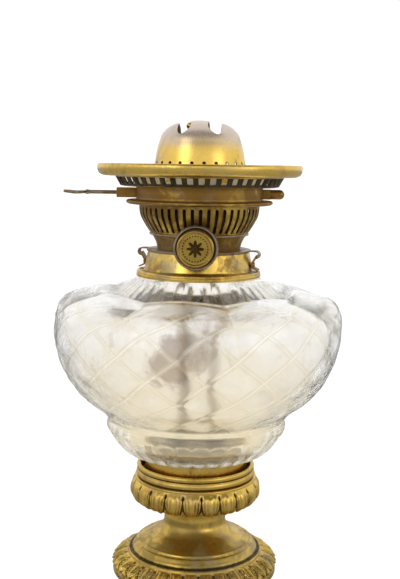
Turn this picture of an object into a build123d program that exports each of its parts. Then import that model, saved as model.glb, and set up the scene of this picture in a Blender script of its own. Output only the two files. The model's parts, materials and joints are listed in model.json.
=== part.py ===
from build123d import *
import math
import os

# Duplex oil lamp: a quilted glass font on a brass knop and spreading foot, with a two-wick burner.
# Millimetres, +Z up. The origin is the centre of the foot, on the surface that the lamp stands on.
# The winder faces -Y and the extinguisher handle points to -X.

# ---- clearances ----
RUN = 0.06            # radial clearance of a shaft that turns in its hole
SLIP = 0.2            # side clearance of a strip or plate that slides
FREE = 0.4            # gap between neighbours that only have to miss each other

# ---- foot, knop and cup ----
FOOT_R = 44.8         # widest circle of the foot
FOOT_H = 30.0         # foot, table to the knop's seat
RIM_H = 3.0           # plain rim under the leaf border
LEAF_R = 36.2         # inner edge of the foot's leaf border
GROOVE_R = 29.5       # ring moulding on the foot's dome
STEM_R = 16.5         # waist between foot and knop
FOOT_WALL = 2.4
ROD_R = 2.5           # tie rod that clamps foot, knop and cup
NUT_W = 9.0           # square nuts, across flats
NUT_H = 3.5
WASHER_R = 7.5
WASHER_H = 1.0
KNOP_R = 35.0         # leaf band of the knop
KNOP_H = 22.6
CUP_R = 31.9          # ring mouldings of the cup
CUP_H = 6.8
CUP_FLOOR = 1.8
SOCKET_R = 27.4       # upright collar that carries the glass
SOCKET_H = 9.8        # its height above the cup's floor
SOCKET_WALL = 1.6

# ---- glass font ----
FONT_R = 76.3         # widest circle of the font
BULGE_R = 47.9        # lower bulge
WAIST_R = 46.6        # crease between the bulge and the body
BULGE_H = 20.4
BODY_H = 68.8         # waist to the crest of the shoulder
NECK_RISE = 6.6       # crest of the shoulder to the collar's seat
GLASS_WALL = 4.0
PEG_R = 17.5          # glass peg under the font
PEG_H = 4.5
SKIRT_R = 44.8        # outer edge of the petals under the collar
SEAT_R = 32.4         # flat ring that the collar stands on
NECK_R = 23.0
NECK_H = 8.0
NECK_WALL = 3.5

# ---- collar ----
COLLAR_FLANGE_R = 32.7
COLLAR_FLANGE_H = 3.5
COLLAR_R = 28.6       # collar wall above its flange
COLLAR_TOP_R = 26.7
COLLAR_H = 13.4
COLLAR_WALL = 0.9
CATCH_TURN = -10.0    # the two catches stand a little clockwise of the X axis, in degrees
CATCH_W = 6.0
CATCH_WALL = 0.7
RIVET_Z = 7.0         # rivets of the catches, above the font
RIVET_R = 0.7

# ---- burner shell ----
PLATE_R = 27.3        # burner's base plate
PLATE_H = 1.0
HOOK_R = 2.2          # outside of the curled hooks
HOOK_WALL = 0.7
HOOK_W = 5.0
CONE_R = 21.6         # plain cone, at its foot
CONE_TOP_R = 25.4
CONE_H = 8.2
BASKET_R = 31.6       # slotted air basket, at its top
BASKET_H = 15.0
SHEET = 0.6           # spun sheet brass
SLOTS = 48
SLOT_W = 1.7
FLANGE_R = 38.3
FLANGE_H = 2.4
BAND_R = 33.2
BAND_WALL = 0.8
BAND_H = 6.8

# ---- gallery, chimney holder and dome ----
GALLERY_R = 53.3      # outside of the shade rim
SHADE_R = 51.4        # inside of the rim: takes a 4 inch (101.6 mm) shade
GALLERY_RISE = 5.4    # floor to the shade's ledge
RIM_RISE = 10.7       # floor to the top of the rim
SKIRT_FOOT_R = 40.8   # slotted skirt, at the floor
SKIRT_TOP_R = 43.8
FLOOR_IN_R = 26.5
GALLERY_WALL = 0.9
HOLDER_R = 33.6       # sprung ring round the chimney
HOLDER_H = 8.0
HOLDER_FINGERS = 8
DOME_R = 23.6         # dome where it comes out of the gallery
DOME_FOOT_R = 24.8
DOME_FLANGE_R = 28.6
DOME_H = 33.3         # gallery floor to the top of the dome
DOME_HOLES = 24
FLAME_SLOT_W = 6.8
FLAME_SLOT_L = 36.0

# ---- wicks and winders ----
WICK_X = 7.8          # centre of each wick, either side of the middle
WICK_T = 3.0
WICK_W = 25.4         # one inch wick
WICK_LENGTH = 144.5
WICK_SHOWS = 0.3      # wick above its tube
TUBE_WALL = 0.5
TUBE_H = 60.0
TUBE_TOP_DROP = 14.9  # top of the dome to the top of the tubes
KNOB_Z = 4.1          # winder axis above the burner's seat
MODULE = 0.4          # winder gears
TEETH = 15
FACE = 1.5            # width of the gears
FEED_X = 3.3          # feed spindles, either side of the middle
FEED_R = 0.9
SPINDLE_R = 1.0       # button's spindle, inside the wheel's sleeve
SLEEVE_R = 1.9
PLATE_T = 1.0         # the two plates that carry the feed spindles
SPROCKETS = 3
SPROCKET_PITCH = 8.0
SPROCKET_TEETH = 9
WHEEL_R = 11.3        # rear knob
BUTTON_R = 9.1        # front knob
WHEEL_Y = -32.0       # back face of the rear knob
WHEEL_T = 4.0
BUTTON_T = 4.2

# ---- extinguisher ----
BAIL_R = 1.0          # round bar
BAIL_ARM = 18.0       # axis to the lifting bar
BAIL_X = 13.2         # arms, either side of the middle
BLOCK_L = 10.3        # bearing block outside the band
BLOCK_W = 5.0
BLOCK_T = 5.1
HANDLE_X = -57.6      # inner end of the looped handle
HANDLE_L = 14.0
FRAME_T = 1.0         # plate that slides on the wick tubes
HINGE_X = 11.2        # flap hinges, outside the wick tubes
HINGE_DROP = 4.85     # below the tops of the tubes
PIN_R = 0.5
KNUCKLE_R = 0.95
FLAP_L = 6.4
FLAP_T = 0.5
FLAP_LEAN = 60.0      # open flaps lean out from upright, in degrees

# ---- heights that the pieces share ----
Z_CUP = FOOT_H + KNOP_H
Z_GLASS = Z_CUP + CUP_FLOOR + SOCKET_H
Z_WAIST = Z_GLASS + BULGE_H
Z_CREST = Z_WAIST + BODY_H
Z_COLLAR = Z_CREST + NECK_RISE
Z_BURNER = Z_COLLAR + COLLAR_H
Z_PLATE = Z_BURNER + PLATE_H
Z_BASKET = Z_PLATE + CONE_H
Z_FLANGE = Z_BASKET + BASKET_H
Z_BAND = Z_FLANGE + FLANGE_H
Z_GALLERY = Z_BAND + BAND_H
Z_FLOOR = Z_GALLERY + GALLERY_WALL
Z_DOME = Z_FLOOR + DOME_H
Z_TUBE = Z_DOME - TUBE_TOP_DROP
Z_KNOB = Z_BURNER + KNOB_Z
Z_BAIL = Z_BAND + BAND_H / 2 - 0.1
Z_FRAME = Z_BAIL + BAIL_R + RUN
Z_HINGE = Z_TUBE - HINGE_DROP

# ---- sizes worked out from the ones above ----
PITCH_R = MODULE * TEETH / 2
GEAR_GAP = 2 * PITCH_R
BUSH_R = KNOB_Z - PLATE_H - 0.1
Z_FEED = Z_KNOB + math.sqrt(GEAR_GAP**2 - FEED_X**2)
CHANNEL_T = WICK_T + 2 * SLIP
TUBE_T = CHANNEL_T + 2 * TUBE_WALL
TUBE_W = WICK_W + 2 * SLIP + 2 * TUBE_WALL
TUBE_Y = TUBE_W / 2
TUBE_X = WICK_X + TUBE_T / 2
WHEEL_GEAR_Y = -(TUBE_Y + PLATE_T + FREE + 2 * FACE + FREE)
BUTTON_GEAR_Y = -(TUBE_Y + PLATE_T + FREE + FACE)
SPROCKET_R = WICK_X - WICK_T / 2 - FEED_X - 0.1
BAND_IN_R = BAND_R - BAND_WALL
WINDOW_W = BLOCK_W + 1.4
SIDES = {"left": -1, "right": 1}


# ---- helpers ----
def ring(*points):
    """A turned solid: a closed outline of (radius, height) points carried round the axis."""
    return revolve(Plane.XZ * make_face(Polyline(*points, close=True)), Axis.Z)


def lathe(*edges):
    """A turned solid whose outline is made of edges drawn in radius and height."""
    return revolve(Plane.XZ * make_face(edges), Axis.Z)


def disc(radius, low, high, bore=0.0):
    """A round plate or bar on the lamp's axis, with or without a bore."""
    if bore:
        return ring((bore, low), (radius, low), (radius, high), (bore, high))
    return Pos(0, 0, (low + high) / 2) * Cylinder(radius, high - low)


def parallel(points, gap):
    """The same line moved sideways to its left by a gap, with mitred corners."""
    steps = [(b[0] - a[0], b[1] - a[1]) for a, b in zip(points, points[1:])]
    normals = [(-dy / math.hypot(dx, dy), dx / math.hypot(dx, dy)) for dx, dy in steps]
    before = normals[:1] + normals
    after = normals + normals[-1:]
    moved = []
    for (x, y), a, b in zip(points, before, after):
        k = gap / (1 + a[0] * b[0] + a[1] * b[1])
        moved.append((x + k * (a[0] + b[0]), y + k * (a[1] + b[1])))
    return moved


def spun(points, wall):
    """A folded sheet-metal shell of revolution: an outline and its parallel line, one wall apart."""
    return ring(*points, *parallel(points, wall)[::-1])


def flared(points, wall):
    """A curved sheet-metal shell of revolution with level ends, one wall thick."""
    inner = parallel(points, wall)
    inner[0], inner[-1] = (inner[0][0], points[0][1]), (inner[-1][0], points[-1][1])
    return lathe(Spline(*points), Line(points[-1], inner[-1]), Spline(*inner), Line(inner[0], points[0]))


def along_y(radius, start, end, x=0.0, z=0.0):
    """A round bar parallel to Y between two Y places."""
    return Pos(x, (start + end) / 2, z) * Rot(90, 0, 0) * Cylinder(radius, abs(end - start))


def along_x(radius, start, end, z=0.0):
    """A round bar parallel to X between two X places."""
    return Pos((start + end) / 2, 0, z) * Rot(0, 90, 0) * Cylinder(radius, abs(end - start))


def block(x, y, z):
    """A rectangular block from three (low, high) pairs."""
    middle = Pos(sum(x) / 2, sum(y) / 2, sum(z) / 2)
    return middle * Box(x[1] - x[0], y[1] - y[0], z[1] - z[0])


def around(count, tool, start=0.0):
    """Copies of a tool at equal steps round the lamp's axis."""
    return [Rot(0, 0, start + 360 * i / count) * tool for i in range(count)]


# ---- foot, knop and cup ----
def foot():
    top = FOOT_H - FOOT_WALL
    outside = [
        (FOOT_R - 0.6, 0), (FOOT_R - 0.6, RIM_H), (FOOT_R, RIM_H + 1.4), (FOOT_R - 1.2, RIM_H + 3.9),
        (LEAF_R, RIM_H + 8.3), (LEAF_R - 0.8, RIM_H + 8.0), (GROOVE_R + 0.8, RIM_H + 12.2),
        (GROOVE_R + 0.4, RIM_H + 13.3), (GROOVE_R - 0.6, RIM_H + 13.5), (GROOVE_R - 1.4, RIM_H + 13.1),
        (STEM_R + 7.7, FOOT_H - 10.4), (STEM_R + 3.0, FOOT_H - 6.2), (STEM_R + 0.6, FOOT_H - 2.4),
        (STEM_R, FOOT_H),
    ]
    inside = [
        (ROD_R, FOOT_H), (ROD_R, top), (STEM_R - FOOT_WALL, top), (STEM_R - FOOT_WALL, FOOT_H - 5.5),
        (GROOVE_R - 4.5, RIM_H + 12.6), (LEAF_R - 2, RIM_H + 6.0),
        (FOOT_R - 0.6 - FOOT_WALL, RIM_H + 1.5), (FOOT_R - 0.6 - FOOT_WALL, 0),
    ]
    return ring(*outside, *inside)


def foot_weight():
    low = WASHER_H + NUT_H + 1.3
    return ring((ROD_R, low), (FOOT_R - 8.5, low), (LEAF_R - 5.2, RIM_H + 6.0),
                (GROOVE_R - 9.5, RIM_H + 13.0), (ROD_R, RIM_H + 13.0))


def base_pad():
    """Baize disc recessed just inside the rim, so that the rim carries the lamp."""
    return disc(FOOT_R - 0.6 - FOOT_WALL, 0.3, 1.3)


def rod_seats():
    """Heights of the three faces that a washer and nut bear on, and the way each nut faces."""
    return [(WASHER_H + NUT_H + 1.3, -1), (FOOT_H - FOOT_WALL, -1), (Z_CUP + CUP_FLOOR, 1)]


def tie_rod():
    return disc(ROD_R, 1.5, Z_CUP + CUP_FLOOR + WASHER_H + NUT_H + 0.4)


def tie_washers():
    plates = [disc(WASHER_R, min(z, z + way * WASHER_H), max(z, z + way * WASHER_H), ROD_R)
              for z, way in rod_seats()]
    return plates[0] + plates[1:]


def tie_nuts():
    nuts = []
    for z, way in rod_seats():
        middle = z + way * (WASHER_H + NUT_H / 2)
        nut = Pos(0, 0, middle) * (Box(NUT_W, NUT_W, NUT_H) - Cylinder(ROD_R, NUT_H + 1))
        nuts.append(nut)
    return nuts[0] + nuts[1:]


def knop():
    z = FOOT_H
    outside = [
        (STEM_R, z), (STEM_R + 0.6, z + 3.0), (STEM_R + 2.0, z + 5.8), (KNOP_R - 9.5, z + 7.2),
        (KNOP_R - 2.6, z + 9.8), (KNOP_R - 0.4, z + 12.6), (KNOP_R, z + 15.2), (KNOP_R - 0.8, z + 19.0),
        (KNOP_R - 2.4, Z_CUP - 1.0), (CUP_R - 0.7, Z_CUP),
    ]
    inside = [
        (KNOP_R - 6, Z_CUP), (KNOP_R - 6, z + 13.5), (STEM_R - 3, z + 9.0), (STEM_R - 3, z + 3.0),
        (ROD_R, z + 3.0), (ROD_R, z),
    ]
    return ring(*outside, *inside)


def font_cup():
    z = Z_CUP
    outside = [
        (CUP_R - 0.8, z), (CUP_R - 0.8, z + 0.8), (CUP_R, z + 1.6), (CUP_R, z + 2.7),
        (CUP_R - 0.8, z + 3.5), (CUP_R - 0.8, z + 4.1), (CUP_R - 0.3, z + 4.7), (CUP_R - 0.3, z + 5.9),
        (CUP_R - 1.3, z + CUP_H), (CUP_R - 2.5, z + CUP_H - 0.5),
    ]
    return ring(*outside, (CUP_R - 2.5, z + CUP_FLOOR), (ROD_R, z + CUP_FLOOR), (ROD_R, z))


def font_socket():
    return disc(SOCKET_R, Z_CUP + CUP_FLOOR, Z_GLASS, SOCKET_R - SOCKET_WALL)


def font_plaster():
    return disc(SOCKET_R - SOCKET_WALL, Z_GLASS - PEG_H, Z_GLASS, PEG_R)


# ---- glass font and collar ----
def body_line(widest, waist, shift):
    """The font's side from waist to crest: fractions of its width and height, raised by a shift."""
    shape = [(0, 0), (0.18, 0.084), (0.455, 0.173), (0.764, 0.34), (0.939, 0.538), (1, 0.718),
             (0.926, 0.892), (0.653, 0.962), (0.2, 0.995)]
    return [(waist + (widest - waist) * a, Z_WAIST + BODY_H * b + shift * (1 - 2 * b)) for a, b in shape]


def bulge_line(start, widest, waist, low):
    """The lower bulge, from the font's base to its waist."""
    rise = Z_WAIST - low
    return [(start, low), (0.8 * widest, low + 0.1 * rise), (0.93 * widest, low + 0.46 * rise),
            (widest, low + 0.8 * rise), (waist, Z_WAIST)]


def glass_font():
    bulge = bulge_line(SOCKET_R + 1.5, BULGE_R, WAIST_R, Z_GLASS)
    body = body_line(FONT_R, WAIST_R, 0)
    skirt = [(SKIRT_R + 1.6, Z_CREST - 6.4), (SKIRT_R, Z_CREST - 3.8), (SKIRT_R - 8, Z_CREST - 0.4),
             (SEAT_R + 0.6, Z_COLLAR - 2.4), (SEAT_R, Z_COLLAR)]
    outside = lathe(
        Polyline((0, Z_GLASS - PEG_H), (PEG_R, Z_GLASS - PEG_H), (PEG_R, Z_GLASS), bulge[0]),
        Spline(*bulge), Spline(*body), Polyline(body[-1], *skirt),
        Polyline(skirt[-1], (NECK_R, Z_COLLAR), (NECK_R, Z_COLLAR + NECK_H), (0, Z_COLLAR + NECK_H)),
        Line((0, Z_COLLAR + NECK_H), (0, Z_GLASS - PEG_H)),
    )
    t = GLASS_WALL
    low = bulge_line(SOCKET_R, BULGE_R - t, WAIST_R - t, Z_GLASS + t + 1)
    side = body_line(FONT_R - t, WAIST_R - t, t)[1:-1]
    neck = NECK_R - NECK_WALL
    inside = lathe(
        Line((0, low[0][1]), low[0]), Spline(*low), Line(low[-1], side[0]), Spline(*side),
        Polyline(side[-1], (SKIRT_R + 1.6, Z_CREST - 6.4 - t), (neck, Z_CREST - t),
                 (neck, Z_COLLAR + NECK_H), (0, Z_COLLAR + NECK_H)),
        Line((0, Z_COLLAR + NECK_H), (0, low[0][1])),
    )
    return outside - inside


def collar_radius(height):
    """Outside of the collar's tapered wall at a height above the font."""
    share = (height - COLLAR_FLANGE_H - 0.2) / (COLLAR_H - COLLAR_FLANGE_H - 0.2)
    return COLLAR_R + (COLLAR_TOP_R - COLLAR_R) * share


def rivet_bars():
    """The two rivets that hold the catches, without their heads."""
    bar = along_x(RIVET_R, collar_radius(RIVET_Z) - COLLAR_WALL / 2, COLLAR_R + 1.2, Z_COLLAR + RIVET_Z)
    return around(2, bar, CATCH_TURN)


def collar():
    z = Z_COLLAR
    wall = ring(
        (COLLAR_R - COLLAR_WALL, z), (COLLAR_FLANGE_R, z), (COLLAR_FLANGE_R, z + COLLAR_FLANGE_H - 0.7),
        (COLLAR_FLANGE_R - 0.8, z + COLLAR_FLANGE_H), (COLLAR_R, z + COLLAR_FLANGE_H + 0.2),
        (COLLAR_TOP_R, Z_BURNER), (COLLAR_TOP_R - COLLAR_WALL, Z_BURNER),
        (COLLAR_R - COLLAR_WALL, z + COLLAR_FLANGE_H + 0.2),
    )
    return wall - rivet_bars()


def collar_cement():
    z, top = Z_COLLAR, Z_COLLAR + NECK_H
    bend = z + COLLAR_FLANGE_H + 0.2
    return ring((NECK_R, z), (COLLAR_R - COLLAR_WALL, z), (COLLAR_R - COLLAR_WALL, bend),
                (collar_radius(NECK_H) - COLLAR_WALL, top), (NECK_R, top))


def collar_catch(side):
    """Bent strip: its upper end reaches into the burner's hook, its lower end flares out."""
    back = COLLAR_R + 0.35
    hook_x = PLATE_R + 3.3
    line = [(COLLAR_FLANGE_R - 0.7, Z_COLLAR + 4.2), (back, Z_COLLAR + RIVET_Z - 1.3),
            (back, Z_COLLAR + RIVET_Z + 1.3),
            (hook_x + 0.6, Z_PLATE - HOOK_R - 0.2)]
    half = CATCH_WALL / 2
    edge = parallel(line, half) + parallel(line, -half)[::-1]
    face = Plane.XZ * make_face(Polyline(*edge, close=True))
    strip = extrude(face, CATCH_W / 2, both=True)
    return Rot(0, 0, CATCH_TURN + (180 if side < 0 else 0)) * strip - rivet_bars()


def collar_rivets():
    face = COLLAR_R + 0.35 + CATCH_WALL / 2
    heads = around(2, along_x(RIVET_R + 0.5, face, face + 0.7, Z_COLLAR + RIVET_Z), CATCH_TURN)
    bars = rivet_bars()
    return bars[0] + bars[1:] + heads


# ---- burner shell ----
def burner_base():
    plate = disc(PLATE_R, Z_BURNER, Z_PLATE)
    spigot = disc(COLLAR_TOP_R - COLLAR_WALL - 0.7, Z_BURNER - 4.0, Z_BURNER,
                  COLLAR_TOP_R - COLLAR_WALL - 1.5)
    opening = block((-TUBE_X, TUBE_X), (WHEEL_GEAR_Y - 1.0, TUBE_Y + PLATE_T), (Z_BURNER - 1, Z_PLATE + 1))
    x, z = PLATE_R + 3.3, Z_PLATE - HOOK_R
    curl = Pos(x, 0, z) * Rot(90, 0, 0) * (Cylinder(HOOK_R, HOOK_W) - Cylinder(HOOK_R - HOOK_WALL, HOOK_W))
    curl -= block((x - 3, x), (-HOOK_W, HOOK_W), (z, z + 3))
    curl -= block((x - 3, x + 0.4), (-HOOK_W, HOOK_W), (z - 3, z))
    tongue = block((PLATE_R - 1.0, x), (-HOOK_W / 2, HOOK_W / 2), (Z_PLATE - HOOK_WALL, Z_PLATE))
    return plate + spigot + around(2, curl + tongue, CATCH_TURN) - opening


def cone_line():
    """Flared outline of the cone, from its foot to the bead."""
    rise = CONE_TOP_R - CONE_R
    return [(CONE_R, Z_PLATE), (CONE_R + 0.3 * rise, Z_PLATE + 0.48 * CONE_H),
            (CONE_R + 0.62 * rise, Z_PLATE + 0.78 * CONE_H), (CONE_TOP_R, Z_BASKET)]


def burner_cone():
    cone = flared(cone_line(), SHEET)
    bead = Pos(0, 0, Z_BASKET - 0.5) * Torus(CONE_TOP_R, 0.5)
    hole = along_y(BUSH_R, -CONE_TOP_R - 3, -CONE_R + 3, 0, Z_KNOB)
    return cone + bead - hole


def air_basket():
    rise = BASKET_R - CONE_TOP_R
    line = [(CONE_TOP_R, Z_BASKET), (CONE_TOP_R + 0.54 * rise, Z_BASKET + 0.34 * BASKET_H),
            (CONE_TOP_R + 0.87 * rise, Z_BASKET + 0.62 * BASKET_H), (BASKET_R, Z_FLANGE)]
    basket = flared(line, SHEET)
    low, high = Z_BASKET + 1.4, Z_FLANGE - 1.6
    slot = block((CONE_TOP_R - 4, BASKET_R + 4), (-SLOT_W / 2, SLOT_W / 2), (low, high))
    return basket - around(SLOTS, slot, 180 / SLOTS)


def burner_flange():
    z = Z_FLANGE
    return ring((BASKET_R - 1.6, z), (FLANGE_R - 1.5, z), (FLANGE_R, z + 0.9), (FLANGE_R, z + 1.7),
                (FLANGE_R - 0.6, Z_BAND), (BASKET_R - 1.6, Z_BAND))


def burner_band():
    """Plain band with a window each side, where the extinguisher's bearings pass."""
    window = block((-FLANGE_R, FLANGE_R), (-WINDOW_W / 2, WINDOW_W / 2),
                   (Z_BAIL - BLOCK_T / 2 - 0.6, Z_BAIL + BLOCK_T / 2 + 0.5))
    return disc(BAND_R, Z_BAND, Z_GALLERY, BAND_IN_R) - window


def wick_tube(side):
    x = side * WICK_X
    low = Z_TUBE - TUBE_H
    tube = block((x - TUBE_T / 2, x + TUBE_T / 2), (-TUBE_Y, TUBE_Y), (low, Z_TUBE))
    tube -= block((x - CHANNEL_T / 2, x + CHANNEL_T / 2), (TUBE_WALL - TUBE_Y, TUBE_Y - TUBE_WALL),
                  (low - 1, Z_TUBE + 1))
    wall = sorted((0, side * WICK_X))
    reach = SPROCKET_R + 0.6
    return tube - [block(wall, (y - 1.3, y + 1.3), (Z_FEED - reach, Z_FEED + reach)) for y in sprocket_places()]


def spindle_plate(end):
    """Plate across the two wick tubes, front or rear, that carries the feed spindles."""
    low = TUBE_Y if end > 0 else -TUBE_Y - PLATE_T
    plate = block((-TUBE_X, TUBE_X), (low, low + PLATE_T), (Z_PLATE + 0.2, Z_FEED + 3.5))
    plate -= [along_y(FEED_R + RUN, low - 1, low + PLATE_T + 1, s * FEED_X, Z_FEED) for s in SIDES.values()]
    if end < 0:
        plate -= along_y(SPINDLE_R + RUN, low - 1, low + PLATE_T + 1, 0, Z_KNOB)
    return plate


def winder_bush():
    bush = along_y(BUSH_R, -CONE_R - 3.6, -CONE_R + 1.2, 0, Z_KNOB)
    return bush - along_y(SLEEVE_R + RUN, -CONE_R - 5, -CONE_R + 3, 0, Z_KNOB)


def bail_bearing(side):
    """Bearing of the extinguisher bar: a block outside the band with its flange inside it."""
    y, z = (-BLOCK_W / 2, BLOCK_W / 2), (Z_BAIL - BLOCK_T / 2, Z_BAIL + BLOCK_T / 2)
    inner = BAND_IN_R - 1.4
    flange = block((inner, inner + 0.8), (-6, 6), (Z_BAND + 0.1, Z_BAND + 5.2))
    length = BLOCK_L if side < 0 else 4.0
    body = block((inner, BAND_R - 0.2 + length), y, z) + flange
    start = BAND_R - 0.2 + length
    if side > 0:
        body += along_x(2.5, start, start + 4.7, Z_BAIL) + Pos(start + 4.7, 0, Z_BAIL) * Sphere(2.5)
    end = start + (1 if side < 0 else 3.0)
    body -= along_x(BAIL_R + RUN, inner - 1, end, Z_BAIL)
    return body if side > 0 else Rot(0, 0, 180) * body


# ---- winders ----
def gear(bore, y, x, z, toward):
    """Involute spur gear, its front face at y, with a tooth (or gap) pointing at an angle."""
    base = PITCH_R * math.cos(math.radians(20))
    tip, root = PITCH_R + 0.9 * MODULE, PITCH_R - 1.25 * MODULE
    half = math.pi / (2 * TEETH) * 0.8

    def flank(r):
        """Half the tooth's angle at a radius on the involute."""
        a, a0 = math.acos(base / r), math.radians(20)
        return half - (math.tan(a) - a) + (math.tan(a0) - a0)

    radii = [base + (tip - base) * i / 4 for i in range(5)]
    right = [(root, flank(base))] + [(r, flank(r)) for r in radii]
    points = []
    for i in range(TEETH):
        middle = math.radians(toward) + 2 * math.pi * i / TEETH
        tooth = [(r, middle - a) for r, a in right] + [(r, middle + a) for r, a in reversed(right)]
        points += [(r * math.cos(a), r * math.sin(a)) for r, a in tooth]
    face = Pos(x, y, z) * (Plane.XZ * make_face(Polyline(*points, close=True)))
    return extrude(face, -FACE) - along_y(bore, y - 1, y + FACE + 1, x, z)


def mesh_angle(side):
    """Direction from the winder's axis to a feed spindle, in degrees from +X."""
    return math.degrees(math.atan2(Z_FEED - Z_KNOB, side * FEED_X))


def gear_place(side):
    """The left spindle is driven by the button, the right one by the wheel."""
    return BUTTON_GEAR_Y if side < 0 else WHEEL_GEAR_Y


def pinion(side):
    bore = SPINDLE_R if side < 0 else SLEEVE_R
    return gear(bore, gear_place(side), 0, Z_KNOB, mesh_angle(side))


def feed_gear(side):
    gap = mesh_angle(side) + 180 + 180 / TEETH
    return gear(FEED_R, gear_place(side), side * FEED_X, Z_FEED, gap)


def sprocket_places():
    return [SPROCKET_PITCH * (i - (SPROCKETS - 1) / 2) for i in range(SPROCKETS)]


def feed_spindle(side):
    return along_y(FEED_R, gear_place(side) - 0.2, TUBE_Y + PLATE_T + 0.6, side * FEED_X, Z_FEED)


def feed_wheels(side):
    """Spiked wheels that bite the wick through the tube's windows."""
    points = []
    for i in range(SPROCKET_TEETH * 2):
        r = SPROCKET_R if i % 2 == 0 else 0.7 * SPROCKET_R
        a = math.pi * i / SPROCKET_TEETH
        points.append((r * math.cos(a), r * math.sin(a)))
    star = Plane.XZ * make_face(Polyline(*points, close=True))
    wheels = []
    for y in sprocket_places():
        wheel = Pos(side * FEED_X, y, Z_FEED) * extrude(star, 0.5, both=True)
        wheels.append(wheel - along_y(FEED_R, y - 1, y + 1, side * FEED_X, Z_FEED))
    return wheels[0] + wheels[1:]


def wick(side):
    x, top = side * WICK_X, Z_TUBE + WICK_SHOWS
    return block((x - WICK_T / 2, x + WICK_T / 2), (-WICK_W / 2, WICK_W / 2), (top - WICK_LENGTH, top))


def winder_wheel():
    """Rear knob: a rim, a thin web and a hub on the sleeve."""
    front, back = WHEEL_Y - WHEEL_T, WHEEL_Y
    rim = along_y(WHEEL_R, front, back, 0, Z_KNOB) - along_y(WHEEL_R - 1.8, front + 1.6, back + 1, 0, Z_KNOB)
    hub = along_y(3.2, front, back + 2.5, 0, Z_KNOB)
    bore = along_y(SLEEVE_R, front - 1, back + 4, 0, Z_KNOB)
    return chamfer(rim.edges().filter_by(GeomType.CIRCLE).sort_by(Axis.Y)[0], 0.5) + hub - bore


def winder_sleeve():
    front = WHEEL_Y - WHEEL_T
    bar = along_y(SLEEVE_R, front, WHEEL_GEAR_Y + FACE, 0, Z_KNOB)
    return bar - along_y(SPINDLE_R + RUN, front - 1, WHEEL_GEAR_Y + FACE + 1, 0, Z_KNOB)


def winder_button():
    """Front knob: a disc with a raised rim round a sunk face."""
    back = WHEEL_Y - WHEEL_T - FREE
    front = back - BUTTON_T
    button = along_y(BUTTON_R, front, back, 0, Z_KNOB)
    button -= along_y(BUTTON_R - 1.1, front - 1, front + 0.8, 0, Z_KNOB)
    return button - along_y(SPINDLE_R, front + 2.4, back + 1, 0, Z_KNOB)


def winder_spindle():
    front = WHEEL_Y - WHEEL_T - FREE - BUTTON_T + 2.4
    return along_y(SPINDLE_R, front, -TUBE_Y + 0.6, 0, Z_KNOB)


# ---- extinguisher ----
def bail():
    """Round bar cranked round the wick tubes, turning in the bearings at its two ends."""
    x, y, r = BAIL_X, BAIL_ARM, 2.0
    path = FilletPolyline((HANDLE_X, 0, 0), (-x, 0, 0), (-x, y, 0), (x, y, 0), (x, 0, 0),
                          (BAND_R + 6.5, 0, 0), radius=r)
    bar = sweep(Plane(origin=path @ 0, z_dir=path % 0) * Circle(BAIL_R), path=path)
    return Pos(0, 0, Z_BAIL) * bar


def extinguisher_handle():
    """Flat trefoil loop at the end of the bar, cut from thick sheet."""
    end = HANDLE_X - HANDLE_L
    lobes = [(end + 4.2, 0, 4.2), (HANDLE_X - 4.3, 3.2, 3.4), (HANDLE_X - 4.3, -3.2, 3.4)]
    outer = [Pos(x, y) * Circle(r) for x, y, r in lobes]
    inner = [Pos(x, y) * Circle(r - 1.3) for x, y, r in lobes]
    bridge = Pos((end + HANDLE_X) / 2 + 0.4, 0) * Rectangle(4.5, 2.6)
    loop = outer[0] + outer[1:] - (inner[0] + inner[1:] + bridge)
    tail = Pos(HANDLE_X - 0.6, 0) * Rectangle(2.4, 2.0)
    plate = extrude(loop + tail, 0.8, both=True)
    return Pos(0, 0, Z_BAIL) * plate - along_x(BAIL_R, HANDLE_X, HANDLE_X + 5, Z_BAIL)


def snuffer_frame():
    """Plate that slides on both wick tubes, with four posts that carry the flap hinges."""
    edge = BAIL_X - BAIL_R - FREE
    top = Z_FRAME + FRAME_T
    plate = block((-edge, edge), (-TUBE_Y - 2.5, TUBE_Y + 2.5), (Z_FRAME, top))
    plate += block((-8, 8), (TUBE_Y, BAIL_ARM + 2.0), (Z_FRAME, top))
    for s in SIDES.values():
        x = s * WICK_X
        plate -= block((x - TUBE_T / 2 - SLIP, x + TUBE_T / 2 + SLIP), (-TUBE_Y - SLIP, TUBE_Y + SLIP),
                       (Z_FRAME - 1, top + 1))
        post_x = sorted((s * (TUBE_X + SLIP), s * (TUBE_X + SLIP + 0.8)))
        for y in hinge_places():
            plate += block(post_x, (y - 1.5, y + 1.5), (Z_FRAME, Z_HINGE))
            plate += along_y(KNUCKLE_R, y - 1.5, y + 1.5, s * HINGE_X, Z_HINGE)
            plate -= along_y(PIN_R, y - 2, y + 2, s * HINGE_X, Z_HINGE)
    return plate


def hinge_places():
    return [-TUBE_Y + 2.0, TUBE_Y - 2.0]


def flap_pins():
    pins = [along_y(PIN_R, -TUBE_Y + 0.5, TUBE_Y - 0.5, s * HINGE_X, Z_HINGE) for s in SIDES.values()]
    return pins[0] + pins[1:]


def snuffer_flap(side):
    """Lid for one wick tube, leaning outward from its hinge while the lamp burns."""
    half = TUBE_Y - 2.0 - 1.5 - 0.3
    lid = block((-FLAP_T / 2, FLAP_T / 2), (-half, half), (0, FLAP_L))
    lid += block((-FLAP_T / 2, FLAP_T / 2), (-TUBE_Y, TUBE_Y), (KNUCKLE_R + 0.4, FLAP_L))
    lid += along_y(KNUCKLE_R, -half, half)
    lid -= along_y(PIN_R + RUN, -half - 1, half + 1)
    return Pos(side * HINGE_X, 0, Z_HINGE) * Rot(0, side * FLAP_LEAN, 0) * lid


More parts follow.
